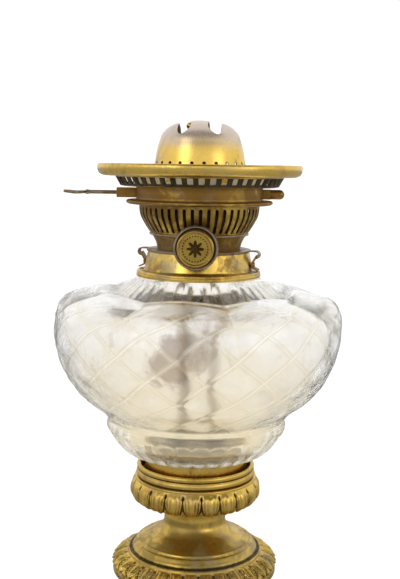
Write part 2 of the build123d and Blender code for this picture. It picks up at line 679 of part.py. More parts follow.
# ---- gallery, chimney holder and dome ----
def gallery():
    """Floor, slotted skirt, ledge for the shade and rolled rim, spun from one piece."""
    ledge, top = Z_FLOOR + GALLERY_RISE, Z_FLOOR + RIM_RISE
    g = GALLERY_WALL
    body = ring(
        (FLOOR_IN_R, Z_GALLERY), (SKIRT_FOOT_R, Z_GALLERY), (SKIRT_TOP_R + 0.4, ledge - g),
        (GALLERY_R - 2.6, ledge - g), (GALLERY_R - 0.8, ledge + 0.3), (GALLERY_R, ledge + 2.2),
        (GALLERY_R - 0.2, top - 0.8), (GALLERY_R - 0.9, top), (SHADE_R + 0.1, top - 0.7),
        (SHADE_R, ledge + 1.2), (SHADE_R - 1.0, ledge), (SKIRT_TOP_R - 0.4, ledge),
        (SKIRT_FOOT_R - 1.0, Z_FLOOR), (FLOOR_IN_R, Z_FLOOR),
    )
    spigot = disc(BAND_IN_R - FREE, Z_GALLERY - 1.2, Z_GALLERY, BAND_IN_R - FREE - 0.8)
    spigot -= block((-BAND_R, BAND_R), (-WINDOW_W / 2, WINDOW_W / 2), (Z_GALLERY - 2, Z_GALLERY))
    slot = block((SKIRT_FOOT_R - 3, SKIRT_TOP_R + 3), (-1.5, 1.5), (Z_FLOOR + 0.4, ledge - g - 0.3))
    return body + spigot - around(SLOTS, slot, 180 / SLOTS)


def chimney_holder():
    """Ring of sprung fingers that grips the foot of the chimney."""
    line = [(HOLDER_R + 3.6, Z_FLOOR), (HOLDER_R, Z_FLOOR), (HOLDER_R - 0.4, Z_FLOOR + 0.6 * HOLDER_H),
            (HOLDER_R + 0.8, Z_FLOOR + HOLDER_H)]
    holder = spun(line, -0.5)
    slit = block((HOLDER_R - 4, HOLDER_R + 4), (-2, 2), (Z_FLOOR + 1.5, Z_FLOOR + HOLDER_H + 1))
    return holder - around(HOLDER_FINGERS, slit, 22.5)


def dome():
    """Deflector: flanged foot, tapered side with a row of air holes, crown with two flame slots."""
    def solid(inset):
        z = Z_FLOOR
        crown = [(DOME_R, z + 10.8), (0.956 * DOME_R, z + 17.2), (0.91 * DOME_R, z + 21.4),
                 (0.83 * DOME_R, z + 26.4), (0.66 * DOME_R, z + DOME_H - 3.2),
                 (0.33 * DOME_R, z + DOME_H - 0.7), (0, z + DOME_H)]
        line = [(max(r - inset, 0), h - (inset if r < DOME_R * 0.8 else 0)) for r, h in crown]
        foot_r = DOME_FOOT_R - inset
        return lathe(Polyline((0, z), (foot_r, z), line[0]), Spline(*line), Line(line[-1], (0, z)))

    shell = solid(0) - solid(SHEET)
    shell += disc(DOME_FLANGE_R, Z_FLOOR, Z_FLOOR + SHEET, DOME_FOOT_R - SHEET)
    hole = along_x(0.9, DOME_R - 4, DOME_R + 4, Z_FLOOR + 11.2)
    shell -= around(DOME_HOLES, hole, 180 / DOME_HOLES)
    for s in SIDES.values():
        slot = SlotOverall(FLAME_SLOT_L, FLAME_SLOT_W, rotation=90)
        shell -= Pos(s * WICK_X, 0, Z_TUBE + 2) * extrude(slot, DOME_H)
    return shell


def dome_stud():
    """Round-headed stud under the strip between the two flame slots."""
    x, z = -WICK_X + 2.4, Z_DOME - 2.9
    ball = Pos(x, 0, z) * Sphere(1.9)
    stem = block((x + 0.2, x + 3.0), (-0.8, 0.8), (z, Z_DOME))
    strip = dome()
    return ball + stem - strip - block((-9, 9), (-9, 9), (Z_DOME - SHEET - 0.05, Z_DOME + 3))


PARTS = {
    "foot": foot(), "foot_weight": foot_weight(), "base_pad": base_pad(), "tie_rod": tie_rod(),
    "tie_washers": tie_washers(), "tie_nuts": tie_nuts(), "knop": knop(), "font_cup": font_cup(),
    "font_socket": font_socket(), "font_plaster": font_plaster(), "glass_font": glass_font(),
    "collar": collar(), "collar_cement": collar_cement(), "collar_rivets": collar_rivets(),
    "burner_base": burner_base(), "burner_cone": burner_cone(), "air_basket": air_basket(),
    "burner_flange": burner_flange(), "burner_band": burner_band(),
    "spindle_plate_front": spindle_plate(-1), "spindle_plate_rear": spindle_plate(1),
    "winder_bush": winder_bush(), "winder_wheel": winder_wheel(), "winder_sleeve": winder_sleeve(),
    "wheel_pinion": pinion(1), "winder_button": winder_button(), "winder_spindle": winder_spindle(),
    "button_pinion": pinion(-1), "bail": bail(), "extinguisher_handle": extinguisher_handle(),
    "snuffer_frame": snuffer_frame(), "flap_pins": flap_pins(), "gallery": gallery(),
    "chimney_holder": chimney_holder(), "dome": dome(), "dome_stud": dome_stud(),
}
PAIRED = {
    "collar_catch": collar_catch, "wick_tube": wick_tube, "bail_bearing": bail_bearing,
    "feed_spindle": feed_spindle, "feed_gear": feed_gear, "feed_wheels": feed_wheels, "wick": wick,
    "snuffer_flap": snuffer_flap,
}
for name, make in PAIRED.items():
    for side, sign in SIDES.items():
        PARTS[f"{name}_{side}"] = make(sign)

os.makedirs("parts", exist_ok=True)
for name, part in PARTS.items():
    export_step(part, f"parts/{name}.step")
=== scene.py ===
"""Looks of a duplex oil lamp: quilted pearl glass on brass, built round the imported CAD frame.

Lengths in the shape functions are millimetres; pieces are put into their meshes in metres.
Angles run round the lamp from its front (-Y) towards +X.
"""
import json
import math

import bmesh
import bpy
import numpy as np
from bpy.props import FloatProperty, FloatVectorProperty, IntProperty, PointerProperty
from bpy.types import Operator, Panel, PropertyGroup
from mathutils import Matrix, Vector


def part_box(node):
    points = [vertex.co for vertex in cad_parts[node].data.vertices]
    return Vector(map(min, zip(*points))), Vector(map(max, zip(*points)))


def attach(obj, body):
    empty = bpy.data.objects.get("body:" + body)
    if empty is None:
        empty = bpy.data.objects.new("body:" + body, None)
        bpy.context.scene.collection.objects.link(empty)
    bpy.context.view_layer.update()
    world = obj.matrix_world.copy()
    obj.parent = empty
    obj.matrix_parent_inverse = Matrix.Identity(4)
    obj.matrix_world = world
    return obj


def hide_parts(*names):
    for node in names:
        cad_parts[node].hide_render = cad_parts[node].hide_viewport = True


bl_info = {
    "name": "Quilted Oil Lamp",
    "version": (1, 0, 0),
    "blender": (4, 5, 0),
    "location": "View3D > Sidebar > Oil Lamp",
    "description": "Builds the glass, brass and wicks of a duplex oil lamp round its CAD frame",
    "category": "Object",
}

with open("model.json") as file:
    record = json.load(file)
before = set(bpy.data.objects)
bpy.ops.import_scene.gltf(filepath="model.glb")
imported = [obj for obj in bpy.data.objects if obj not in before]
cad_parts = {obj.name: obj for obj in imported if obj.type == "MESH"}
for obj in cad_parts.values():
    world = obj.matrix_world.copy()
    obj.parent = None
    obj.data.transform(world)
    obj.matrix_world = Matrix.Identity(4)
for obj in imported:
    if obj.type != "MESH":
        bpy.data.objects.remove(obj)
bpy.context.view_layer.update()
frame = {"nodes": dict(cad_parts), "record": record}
MM = 0.001
BOX = {node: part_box(node) for node in frame["nodes"]}
BODY_OF = {node: body for body, nodes in frame["record"]["behaviour"]["bodies"].items() for node in nodes}


def low(node, axis=2):
    """Lowest X, Y or Z of a CAD node, in millimetres."""
    return BOX[node][0][axis] / MM


def high(node, axis=2):
    """Highest X, Y or Z of a CAD node, in millimetres."""
    return BOX[node][1][axis] / MM


# ---- sizes taken from the frame ----
FOOT_R, FOOT_TOP = high("foot", 0), high("foot")
KNOP_R, KNOP_TOP = high("knop", 0), high("knop")
CUP_R, CUP_TOP = high("font_cup", 0), high("font_cup")
SOCKET_R, GLASS_LOW = high("font_socket", 0), high("font_socket")
FONT_R = high("glass_font", 0) - 0.15
SEAT = low("collar")
NECK_TOP = high("glass_font")
BURNER = high("collar")
KNOB = (low("winder_button") + high("winder_button")) / 2
DOME_TOP = high("dome")
STEM_R = 16.5         # waist between foot and knop
ROD_R = 2.5           # hole for the tie rod
SHEET = 0.6           # thickness of the spun cone, basket and dome
ROUND = 256           # grid steps round a plain ring
SLOTS = 48            # round the air basket, and round the gallery's skirt

# ---- the glass pattern ----
QUILT_LINES = 16      # slanting lines each way round the font
CELL = 24             # grid steps across one diamond
COLUMNS = QUILT_LINES * CELL
QUILT_START = math.radians(17.0)
GADROONS = 32
LOBES = 8
FLUTES = 48
FLUTE_DEPTH = 0.95


# ================================================================ shapes
def smooth(x):
    """Smooth step from 0 at 0 to 1 at 1."""
    x = np.clip(x, 0, 1)
    return x * x * (3 - 2 * x)


def bell(x, width):
    """Bell of height 1 at 0 that falls to a third at one width."""
    return np.exp(-((x / width) ** 2))


def curve(points, steps=24):
    """Smooth line through points: cubic pieces whose slopes at each point weigh its two chords."""
    p = np.array(points, float)
    chord = np.linalg.norm(np.diff(p, axis=0), axis=1)
    t = np.concatenate([[0], np.cumsum(chord)])
    slope = np.diff(p, axis=0) / chord[:, None]
    w = chord / (chord + np.roll(chord, 1))
    inner = slope[:-1] * w[1:, None] + slope[1:] * (1 - w[1:, None])
    m = np.vstack([slope[:1], inner, slope[-1:]])
    u = np.linspace(0, len(chord) - 1e-9, steps * len(chord) + 1)
    i = u.astype(int)
    f, h = (u - i)[:, None], chord[i][:, None]
    return ((2 * f**3 - 3 * f**2 + 1) * p[i] + (f**3 - 2 * f**2 + f) * h * m[i]
            + (3 * f**2 - 2 * f**3) * p[i + 1] + (f**3 - f**2) * h * m[i + 1])


def lengths(line):
    """Distance along a line at each of its points."""
    return np.concatenate([[0], np.cumsum(np.linalg.norm(np.diff(line, axis=0), axis=1))])


def along(line, places):
    """Points of a line at given distances along it."""
    s = lengths(line)
    return np.stack([np.interp(places, s, line[:, k]) for k in range(line.shape[1])], 1)


def even(line, step):
    """The line with points an even step apart."""
    total = lengths(line)[-1]
    return along(line, np.linspace(0, total, max(2, int(round(total / step)) + 1)))


def rounded(corners, radius, closed=True, steps=4):
    """Outline whose corners are small curves: each starts a radius before its corner, or 0.4 of the side."""
    p = np.array(corners, float)
    before, after = np.roll(p, 1, axis=0), np.roll(p, -1, axis=0)
    back, ahead = before - p, after - p
    lb, la = np.linalg.norm(back, axis=1), np.linalg.norm(ahead, axis=1)
    r = np.broadcast_to(np.asarray(radius, float), lb.shape)
    start = p + back / lb[:, None] * np.minimum(r, 0.4 * lb)[:, None]
    end = p + ahead / la[:, None] * np.minimum(r, 0.4 * la)[:, None]
    f = np.linspace(0, 1, steps + 1)[None, :, None]
    arc = (1 - f) ** 2 * start[:, None] + 2 * f * (1 - f) * p[:, None] + f**2 * end[:, None]
    return arc.reshape(-1, 2) if closed else np.vstack([p[:1], arc[1:-1].reshape(-1, 2), p[-1:]])


def normals(line, closed=False):
    """Unit normals to the right of a line's direction: outward, where the line climbs on a turned piece."""
    if closed:
        d = np.roll(line, -1, axis=0) - np.roll(line, 1, axis=0)
    else:
        d = np.gradient(line, axis=0)
    n = np.stack([d[:, 1], -d[:, 0]], 1)
    return n / np.maximum(np.linalg.norm(n, axis=1), 1e-12)[:, None]


def ring_angles(count, start=0.0):
    """Even angles once round."""
    return start + np.arange(count) * 2 * math.pi / count


def carried(radius, height, angle):
    """Points at a radius and height, turned round the lamp by an angle from its front."""
    radius, height, angle = np.broadcast_arrays(radius, height, angle)
    return np.stack([radius * np.sin(angle), -radius * np.cos(angle), height], -1)


def grid_faces(rows, columns, loop_rows=False, loop_columns=True):
    """Quads of a grid of points. The last row or column joins the first where it loops."""
    r = np.arange(rows if loop_rows else rows - 1)[:, None]
    c = np.arange(columns if loop_columns else columns - 1)[None, :]
    r2, c2 = (r + 1) % rows, (c + 1) % columns
    corners = [r * columns + c, r * columns + c2, r2 * columns + c2, r2 * columns + c]
    return np.stack(corners, -1).reshape(-1, 4)


def capped(grid, ends):
    """Rows of points that loop round, closed at each end by a fan of triangles to a point: the first of the
    two ends closes the first row, and the second the last row."""
    rows, columns = grid.shape[:2]
    count, i = rows * columns, np.arange(columns)
    j, last = (i + 1) % columns, count - columns
    faces = grid_faces(rows, columns).tolist()
    faces += np.stack([j, i, np.full(columns, count)], 1).tolist()
    faces += np.stack([last + i, last + j, np.full(columns, count + 1)], 1).tolist()
    return np.vstack([grid.reshape(-1, 3), ends]), faces


def turned(line, columns, closed, relief=None, start=0.0):
    """Surface of revolution of a line of (radius, height). A closed line makes a ring; an open one starts
    and ends on the axis, where a fan of triangles closes it. relief moves each point along the line's normal
    by its own amount, one row per point of the line and one column per angle."""
    line = np.asarray(line, float)
    n = normals(line, closed)
    angle = ring_angles(columns, start)[None, :]
    h = np.zeros((len(line), columns)) if relief is None else relief
    points = carried(line[:, :1] + n[:, :1] * h, line[:, 1:] + n[:, 1:] * h, angle)
    if closed:
        return points.reshape(-1, 3), grid_faces(len(line), columns, loop_rows=True).tolist()
    return capped(points[1:-1], [[0, 0, line[0, 1]], [0, 0, line[-1, 1]]])


def pierced(line, wall, columns, hole, rows=None, start=0.0):
    """Thin spun sheet with openings. The outer face is the line turned round the axis, on a grid of angle
    and distance along the line. hole(angle, distance) is how far a place lies outside the nearest opening,
    in millimetres, negative inside it. Faces with their middle inside are dropped, and the points left on
    the rim of an opening slide down the slope of hole towards where it is 0. The inner face is the same
    sheet a wall further in, and quads join the two faces along every free edge."""
    line = np.asarray(line, float)
    s = lengths(line)
    rows = np.linspace(0, s[-1], int(s[-1] / 0.5) + 2) if rows is None else rows
    faces = grid_faces(len(rows), columns)
    angle = np.broadcast_to(ring_angles(columns, start)[None, :], (len(rows), columns)).ravel().copy()
    place = np.broadcast_to(np.asarray(rows)[:, None], (len(rows), columns)).ravel().copy()
    step = 2 * math.pi / columns
    middle_angle = angle[faces[:, 0]] + step / 2
    middle_place = (place[faces[:, 0]] + place[faces[:, 2]]) / 2
    kept = hole(middle_angle, middle_place) > 0
    shared = np.intersect1d(faces[kept], faces[~kept])
    for _ in range(3):
        a, p = angle[shared], place[shared]
        radius = np.maximum(np.interp(p, s, line[:, 0]), 0.5)
        d, e = hole(a, p), 1e-3
        ga = (hole(a + e / radius, p) - hole(a - e / radius, p)) / (2 * e)
        gp = (hole(a, p + e) - hole(a, p - e)) / (2 * e)
        size = np.maximum(ga**2 + gp**2, 0.05)
        angle[shared] = a - np.clip(d * ga / size, -0.6, 0.6) / radius
        place[shared] = np.clip(p - np.clip(d * gp / size, -0.6, 0.6), 0, s[-1])
    faces = faces[kept]
    n = normals(line)
    spot = [np.interp(place, s, line[:, k]) for k in (0, 1)]
    way = [np.interp(place, s, n[:, k]) for k in (0, 1)]
    depth = np.interp(place, s, wall) if np.ndim(wall) else wall
    outer = carried(spot[0], spot[1], angle)
    inner = carried(np.maximum(spot[0] - depth * way[0], 0), spot[1] - depth * way[1], angle)
    pairs = np.stack([faces, np.roll(faces, -1, axis=1)], -1).reshape(-1, 2)
    key = pairs[:, 0] * len(angle) + pairs[:, 1]
    free = pairs[~np.isin(key, pairs[:, 1] * len(angle) + pairs[:, 0])]
    shift = len(angle)
    rim = np.stack([free[:, 1], free[:, 0], free[:, 0] + shift, free[:, 1] + shift], 1)
    every = np.vstack([faces, faces[:, ::-1] + shift, rim])
    used, index = np.unique(every, return_inverse=True)
    return np.vstack([outer, inner])[used], index.reshape(every.shape).tolist()


def tube(path, radius, sides=12, flat=1.0):
    """Round or flattened bar carried along a closed path in the level plane: at each point of the path a
    section stands in the plane of the path's normal and Z."""
    p = np.asarray(path, float)
    d = np.roll(p, -1, axis=0) - np.roll(p, 1, axis=0)
    n = np.stack([d[:, 1], -d[:, 0], np.zeros(len(p))], 1)
    n /= np.linalg.norm(n, axis=1)[:, None]
    a = ring_angles(sides)
    points = (p[:, None] + n[:, None] * (radius * np.cos(a))[None, :, None]
              + np.array([0, 0, 1.0]) * (radius * flat * np.sin(a))[None, :, None])
    return points.reshape(-1, 3), grid_faces(len(p), sides, loop_rows=True).tolist()


def slot_gap(across, along_it, half_width, half_length):
    """Distance outside a slot with round ends."""
    rest = np.maximum(np.abs(along_it) - (half_length - half_width), 0)
    return np.hypot(across, rest) - half_width


def box_gap(across, along_it, half_width, half_length, corner=0.35):
    """Distance outside a rectangle with small round corners."""
    x = np.abs(across) - half_width + corner
    y = np.abs(along_it) - half_length + corner
    return np.hypot(np.maximum(x, 0), np.maximum(y, 0)) + np.minimum(np.maximum(x, y), 0) - corner


def off_centre(angle, count, start=0.0):
    """Angle from the nearest of evenly spaced places round the lamp."""
    pitch = 2 * math.pi / count
    return (angle - start + pitch / 2) % pitch - pitch / 2


def leaf_border(angle, down, count):
    """Height of a border of cast leaves, 0 to 1.1; down runs from the roots, 0, to the tips, 1. A leaf's
    half width is (1 - down^2.4)^0.65 of its half pitch. It is crowned, with a rib down its middle and two
    veins each side that close in on the tip. A groove follows its outline, an eye is drilled between two
    roots, and a smaller pointed leaf shows in each gap, its tip below the large ones."""
    across = np.abs(off_centre(angle, count)) / (math.pi / count)
    d = np.clip(down, 0, 1)
    width = (1 - d**2.4) ** 0.65
    share = np.clip(across / np.maximum(width, 0.12), 0, 1.2)
    veins = bell(share - 0.36, 0.1) + bell(share - 0.72, 0.09)
    large = (0.82 + 0.18 * (1 - share**2) + 0.16 * bell(across, 0.08)
             - 0.36 * veins * smooth((d - 0.06) / 0.2))
    gap = 1 - across
    point = 0.8 * (1 - np.clip((down - 0.35) / 0.84, 0, 1) ** 2) ** 0.6
    small = (0.35 + 0.42 * smooth((point - gap) / 0.14 + 0.5)
             + 0.2 * bell(gap, 0.12) * smooth((down - 0.5) / 0.2))
    inside = smooth(0.5 - (across - width) / 0.09) * smooth((1.03 - down) / 0.06)
    outline = bell(across - width - 0.05, 0.08) * smooth((1.04 - down) / 0.05) * smooth(down / 0.12)
    eye = bell(gap, 0.14) * bell(down - 0.12, 0.07)
    return np.clip(small + (large - small) * inside - 0.6 * outline - 0.8 * eye, 0, 1.1)


# ================================================================ pieces
def add_piece(name, shape, body, nodes, finish, fields=None, crease=40.0):
    """Puts a shape, points in millimetres and faces, into the scene, riding on a body for its CAD nodes.
    fields holds numbers for each point that the finish reads, by name."""
    points, faces = shape
    mesh = bpy.data.meshes.new(name)
    mesh.from_pydata((np.asarray(points) * MM).tolist(), [], faces)
    mesh.update()
    for key, values in (fields or {}).items():
        layer = mesh.attributes.new(key, "FLOAT", "POINT")
        layer.data.foreach_set("value", np.asarray(values, np.float32).ravel())
    return place_mesh(mesh, name, body, nodes, finish, crease)


def place_mesh(mesh, name, body, nodes, finish, crease):
    """Smooths a mesh up to its sharp edges, gives it its finish and rides it on its body."""
    mesh.polygons.foreach_set("use_smooth", np.ones(len(mesh.polygons), bool))
    mesh.set_sharp_from_angle(angle=math.radians(crease))
    mesh.materials.append(finishes()[finish])
    piece = bpy.data.objects.new(name, mesh)
    bpy.context.scene.collection.objects.link(piece)
    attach(piece, body)
    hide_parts(*nodes)
    return piece


def dressed(node, finish, edge=0.12, crease=35.0):
    """Finished copy of a CAD piece: its corners welded, its flat faces joined and its edges broken."""
    mesh = bpy.data.meshes.new("finished_" + node)
    work = bmesh.new()
    work.from_mesh(frame["nodes"][node].data)
    bmesh.ops.remove_doubles(work, verts=work.verts, dist=2e-6)
    bmesh.ops.dissolve_degenerate(work, edges=work.edges, dist=1e-6)
    bmesh.ops.dissolve_limit(work, angle_limit=math.radians(0.4), verts=work.verts, edges=work.edges)
    work.to_mesh(mesh)
    work.free()
    if "sharp_edge" in mesh.attributes:
        mesh.attributes.remove(mesh.attributes["sharp_edge"])
    mesh.materials.clear()
    piece = place_mesh(mesh, "finished_" + node, BODY_OF[node], [node], finish, crease)
    bevel = piece.modifiers.new("broken_edges", "BEVEL")
    bevel.width, bevel.segments, bevel.limit_method = edge * MM, 2, "ANGLE"
    bevel.angle_limit, bevel.harden_normals = math.radians(crease), True
    return piece


# ================================================================ materials
class Number:
    """A number socket of a material. Arithmetic on it adds the Math nodes that work it out."""

    def __init__(self, net, socket):
        self.net, self.socket = net, socket

    def __add__(self, other):
        return self.net.math("ADD", self, other)

    def __sub__(self, other):
        return self.net.math("SUBTRACT", self, other)

    def __rsub__(self, other):
        return self.net.math("SUBTRACT", other, self)

    def __mul__(self, other):
        return self.net.math("MULTIPLY", self, other)

    __radd__, __rmul__ = __add__, __mul__

    def clamped(self):
        return self.net.math("MINIMUM", self.net.math("MAXIMUM", self, 0.0), 1.0)

    def step(self, start, end):
        """0 below start, 1 above end, with a smooth rise between them."""
        return self.net.node("ShaderNodeMapRange", {"interpolation_type": "SMOOTHSTEP"},
                             {0: self, 1: start, 2: end, 3: 0.0, 4: 1.0})


class Net:
    """A material's or a world's node tree, built by calls that return sockets."""

    def __init__(self, name, maker=None):
        self.material = (bpy.data.materials if maker is None else maker).new(name)
        self.material.use_nodes = True
        self.tree = self.material.node_tree
        self.tree.nodes.clear()
        self.place = self.node("ShaderNodeTexCoord", output="Object" if maker is None else "Generated")

    def node(self, kind, settings=None, inputs=None, output=0):
        """Adds a node: its settings are set first, then its sockets get their values or links."""
        made = self.tree.nodes.new(kind)
        for key, value in (settings or {}).items():
            setattr(made, key, value)
        for key, value in (inputs or {}).items():
            socket = made.inputs[key]
            value = value.socket if isinstance(value, Number) else value
            if isinstance(value, bpy.types.NodeSocket):
                self.tree.links.new(value, socket)
            elif isinstance(value, (tuple, list)) and socket.type == "RGBA" and len(value) == 3:
                socket.default_value = (*value, 1.0)
            else:
                socket.default_value = value
        out = made.outputs[output]
        return Number(self, out) if out.type == "VALUE" else out

    def math(self, operation, a, b):
        return self.node("ShaderNodeMath", {"operation": operation}, {0: a, 1: b})

    def mix(self, share, a, b):
        """Colour a where share is 0 and b where it is 1."""
        return self.node("ShaderNodeMix", {"data_type": "RGBA"}, {0: share, 6: a, 7: b}, output=2)

    def noise(self, scale, detail=4.0, roughness=0.55, distortion=0.0, place=None):
        return self.node("ShaderNodeTexNoise", None,
                         {"Vector": place or self.place, "Scale": scale, "Detail": detail,
                          "Roughness": roughness, "Distortion": distortion})

    def stretched(self, x, y, z):
        """Object coordinates scaled along each axis."""
        return self.node("ShaderNodeVectorMath", {"operation": "MULTIPLY"}, {0: self.place, 1: (x, y, z)})

    def axes(self):
        """The three object coordinates as numbers."""
        split = self.tree.nodes.new("ShaderNodeSeparateXYZ")
        self.tree.links.new(self.place, split.inputs[0])
        return [Number(self, out) for out in split.outputs]

    def attribute(self, name):
        return self.node("ShaderNodeAttribute", {"attribute_name": name}, output="Fac")

    def bump(self, height, strength, distance):
        return self.node("ShaderNodeBump", None,
                         {"Height": height, "Strength": strength, "Distance": distance})

    def finish(self, **sockets):
        """Ends the net with a Principled surface. Underscores in the names stand for spaces."""
        surface = self.node("ShaderNodeBsdfPrincipled", None,
                            {key.replace("_", " "): value for key, value in sockets.items()})
        self.node_output(surface)
        return self.material

    def node_output(self, surface, kind="ShaderNodeOutputMaterial"):
        end = self.tree.nodes.new(kind)
        self.tree.links.new(surface, end.inputs["Surface"])


def shade(colour, share):
    """A colour made darker or lighter by a share."""
    return tuple(c * share for c in colour)


def aged_brass(name, bright, brown, tarnish, worn, polish, film, hollow=False, heat=None):
    """Old lacquered brass: bright metal between brown clouds, a violet-grey film, specks and fine scratches.
    worn sets how little of it is brown; polish sets its roughness and bump, and is lower on smoother metal;
    film is how much of the violet-grey film lies on it. With hollow, dirt and painted shade gather where the
    piece's own hollow field is high, and the metal is rubbed bright by wear, with a painted highlight, where
    it is low. heat is the height in metres above which the flame has turned the metal lilac-grey."""
    net = Net(name)
    clouds = net.noise(70.0, 6.0, 0.62, 0.6)
    fine = net.noise(420.0, 5.0, 0.7)
    specks = net.noise(1300.0, 2.0, 0.6)
    level = 0.36 + 0.28 * worn
    brown_share = (clouds * 0.75 + fine * 0.25).step(level - 0.05, level + 0.13)
    colour = net.mix(brown_share * 0.8, bright, brown)
    film_share = net.noise(34.0, 5.0, 0.6, 0.8).step(0.5, 0.66) * film
    colour = net.mix(film_share, colour, tarnish)
    speck_share = specks.step(0.6, 0.74) * (0.2 if heat else 0.55)
    colour = net.mix(speck_share, colour, shade(brown, 0.35))
    scorch = 0.0
    if heat:
        z = net.axes()[2]
        scorch = (z + clouds * 0.008 - 0.004).step(heat - 0.004, heat + 0.007)
        colour = net.mix(scorch * 0.85, colour, (0.74, 0.64, 0.58))
    rough = brown_share * 0.16 + film_share * 0.2 + fine * 0.1 + (polish - 0.05)
    height = fine * 0.5 + specks * 0.25
    if hollow:
        # Dirt and painted shade darken the metal where the hollow field is high; wear and a painted highlight
        # brighten it where the field is low.
        deep = net.attribute("hollow")
        dirt_and_shade = (deep + fine * 0.35 - 0.2).step(0.3, 0.85)
        colour = net.mix(dirt_and_shade * 0.92, colour, shade(brown, 0.25))
        wear_and_highlight = (1.0 - deep * 1.6).step(0.35, 0.9) * 0.5
        colour = net.mix(wear_and_highlight, colour, shade(bright, 1.12))
        rough = rough + dirt_and_shade * 0.2 - wear_and_highlight * 0.08
    lines = net.noise(900.0, 3.0, 0.6, 0.0, net.stretched(1.0, 1.0, 14.0))
    return net.finish(Base_Color=colour, Metallic=1.0 - film_share * 0.35 - scorch * 0.55, Roughness=rough,
                      Normal=net.bump(height + lines * 0.3, 0.05 if heat else polish * 0.8 - 0.1, 0.0004))


def pearl_glass(name, pearl, champagne, smoke):
    """Pearly pressed glass: clear, and champagne in random swirls, low down and, as painted shade, in its
    hollows.
    Each thread has a painted highlight along it with a painted shadow line each side. A slanting dark cloud
    and wisps on the front are painted shade, the font's dark inside seen through the glass; fainter smoky
    clouds lie round it."""
    net = Net(name)
    x, y, z = net.axes()
    deep = net.attribute("hollow")
    swirl = net.noise(30.0, 5.0, 0.6, 1.4)
    wisps = net.noise(75.0, 6.0, 0.62, 2.4, net.stretched(1.0, 1.0, 0.7))
    line = net.math("MAXIMUM", net.attribute("rising"), net.attribute("falling"))
    low_part = 1.0 - z.step(0.085, 0.13)
    # Champagne comes in random swirls and low down, and in the hollows as painted shade.
    warm = (swirl * 0.6 + deep * 0.7 + wisps * 0.3 + low_part * 0.45).step(0.5, 1.0)
    colour = net.mix(warm, pearl, champagne)
    # The slanting cloud and the extra wisps on the front are painted shade: the font's dark inside seen
    # through the glass. The other clouds round it are smoky marbling.
    right, up = x + 0.004, z - 0.131
    slant, cross = right * 0.8 + up * 0.6, up * 0.8 - right * 0.6
    front = (y * -1.0).step(0.03, 0.06)
    cloud = (wisps * 1.3 + 0.35 - slant * slant * 1500.0 - cross * cross * 4000.0).step(0.3, 0.85) * front
    around = wisps.step(0.54, 0.7) * swirl.step(0.46, 0.62) * 0.5 + front * wisps * 0.4
    colour = net.mix((cloud + around).clamped(), colour, smoke)
    # Painted shadow: a darker champagne line each side of every thread. Painted highlight: a pale line on its
    # crest.
    colour = net.mix(line.step(0.8, 0.95) * 0.8, colour, shade(champagne, 0.82))
    colour = net.mix(line.step(0.965, 1.0), colour, shade(pearl, 1.01))
    ripple = net.noise(160.0, 2.0, 0.5, 0.4)
    return net.finish(Base_Color=colour, Roughness=0.11 + 0.26 * swirl, Transmission_Weight=0.99, IOR=1.22,
                      Coat_Weight=0.6, Coat_Roughness=0.05, Normal=net.bump(ripple, 0.12, 0.001))


def plain_metal(name, colour, dark, rough):
    """Turned steel or cast iron: grain, oil stains and a few rust-brown specks."""
    net = Net(name)
    grain = net.noise(600.0, 4.0, 0.6)
    stain = net.noise(90.0, 4.0, 0.6, 0.5).step(0.45, 0.7)
    tone = net.mix(stain * 0.7, colour, dark)
    tone = net.mix(grain.step(0.6, 0.75) * 0.4, tone, (0.16, 0.08, 0.04))
    return net.finish(Base_Color=tone, Metallic=1.0 - stain * 0.3, Roughness=rough + 0.2 * grain,
                      Normal=net.bump(grain, 0.3, 0.0003))


def dry_surface(name, colour, shadow, grain_scale, depth, sheen=0.0):
    """Matt fibrous or chalky stuff: baize, plaster and cement."""
    net = Net(name)
    grain = net.noise(grain_scale, 6.0, 0.7)
    cloud = net.noise(60.0, 3.0, 0.5)
    tone = net.mix((grain * 0.7 + cloud * 0.3).step(0.35, 0.7), shadow, colour)
    return net.finish(Base_Color=tone, Roughness=0.95, Sheen_Weight=sheen,
                      Normal=net.bump(grain, 0.6, depth))


def cotton_braid(name, cotton, char):
    """Cotton wick: fine slanting ridges, charred at its top edge."""
    net = Net(name)
    z = net.axes()[2]
    weave = net.node("ShaderNodeTexWave", {"bands_direction": "DIAGONAL"},
                     {"Vector": net.stretched(0.0, 1.0, 1.0), "Scale": 420.0, "Distortion": 1.5,
                      "Detail": 2.0}, output="Fac")
    soot = (z + net.noise(700.0) * 0.003 - (high("wick_left") * MM - 0.0035)).step(0.0, 0.003)
    # Darker where the weave is low: painted shade in the braid's grooves.
    tone = net.mix(weave * 0.5, shade(cotton, 0.72), cotton)
    tone = net.mix(soot, tone, char)
    return net.finish(Base_Color=tone, Roughness=0.95, Normal=net.bump(weave, 0.7, 0.0004))


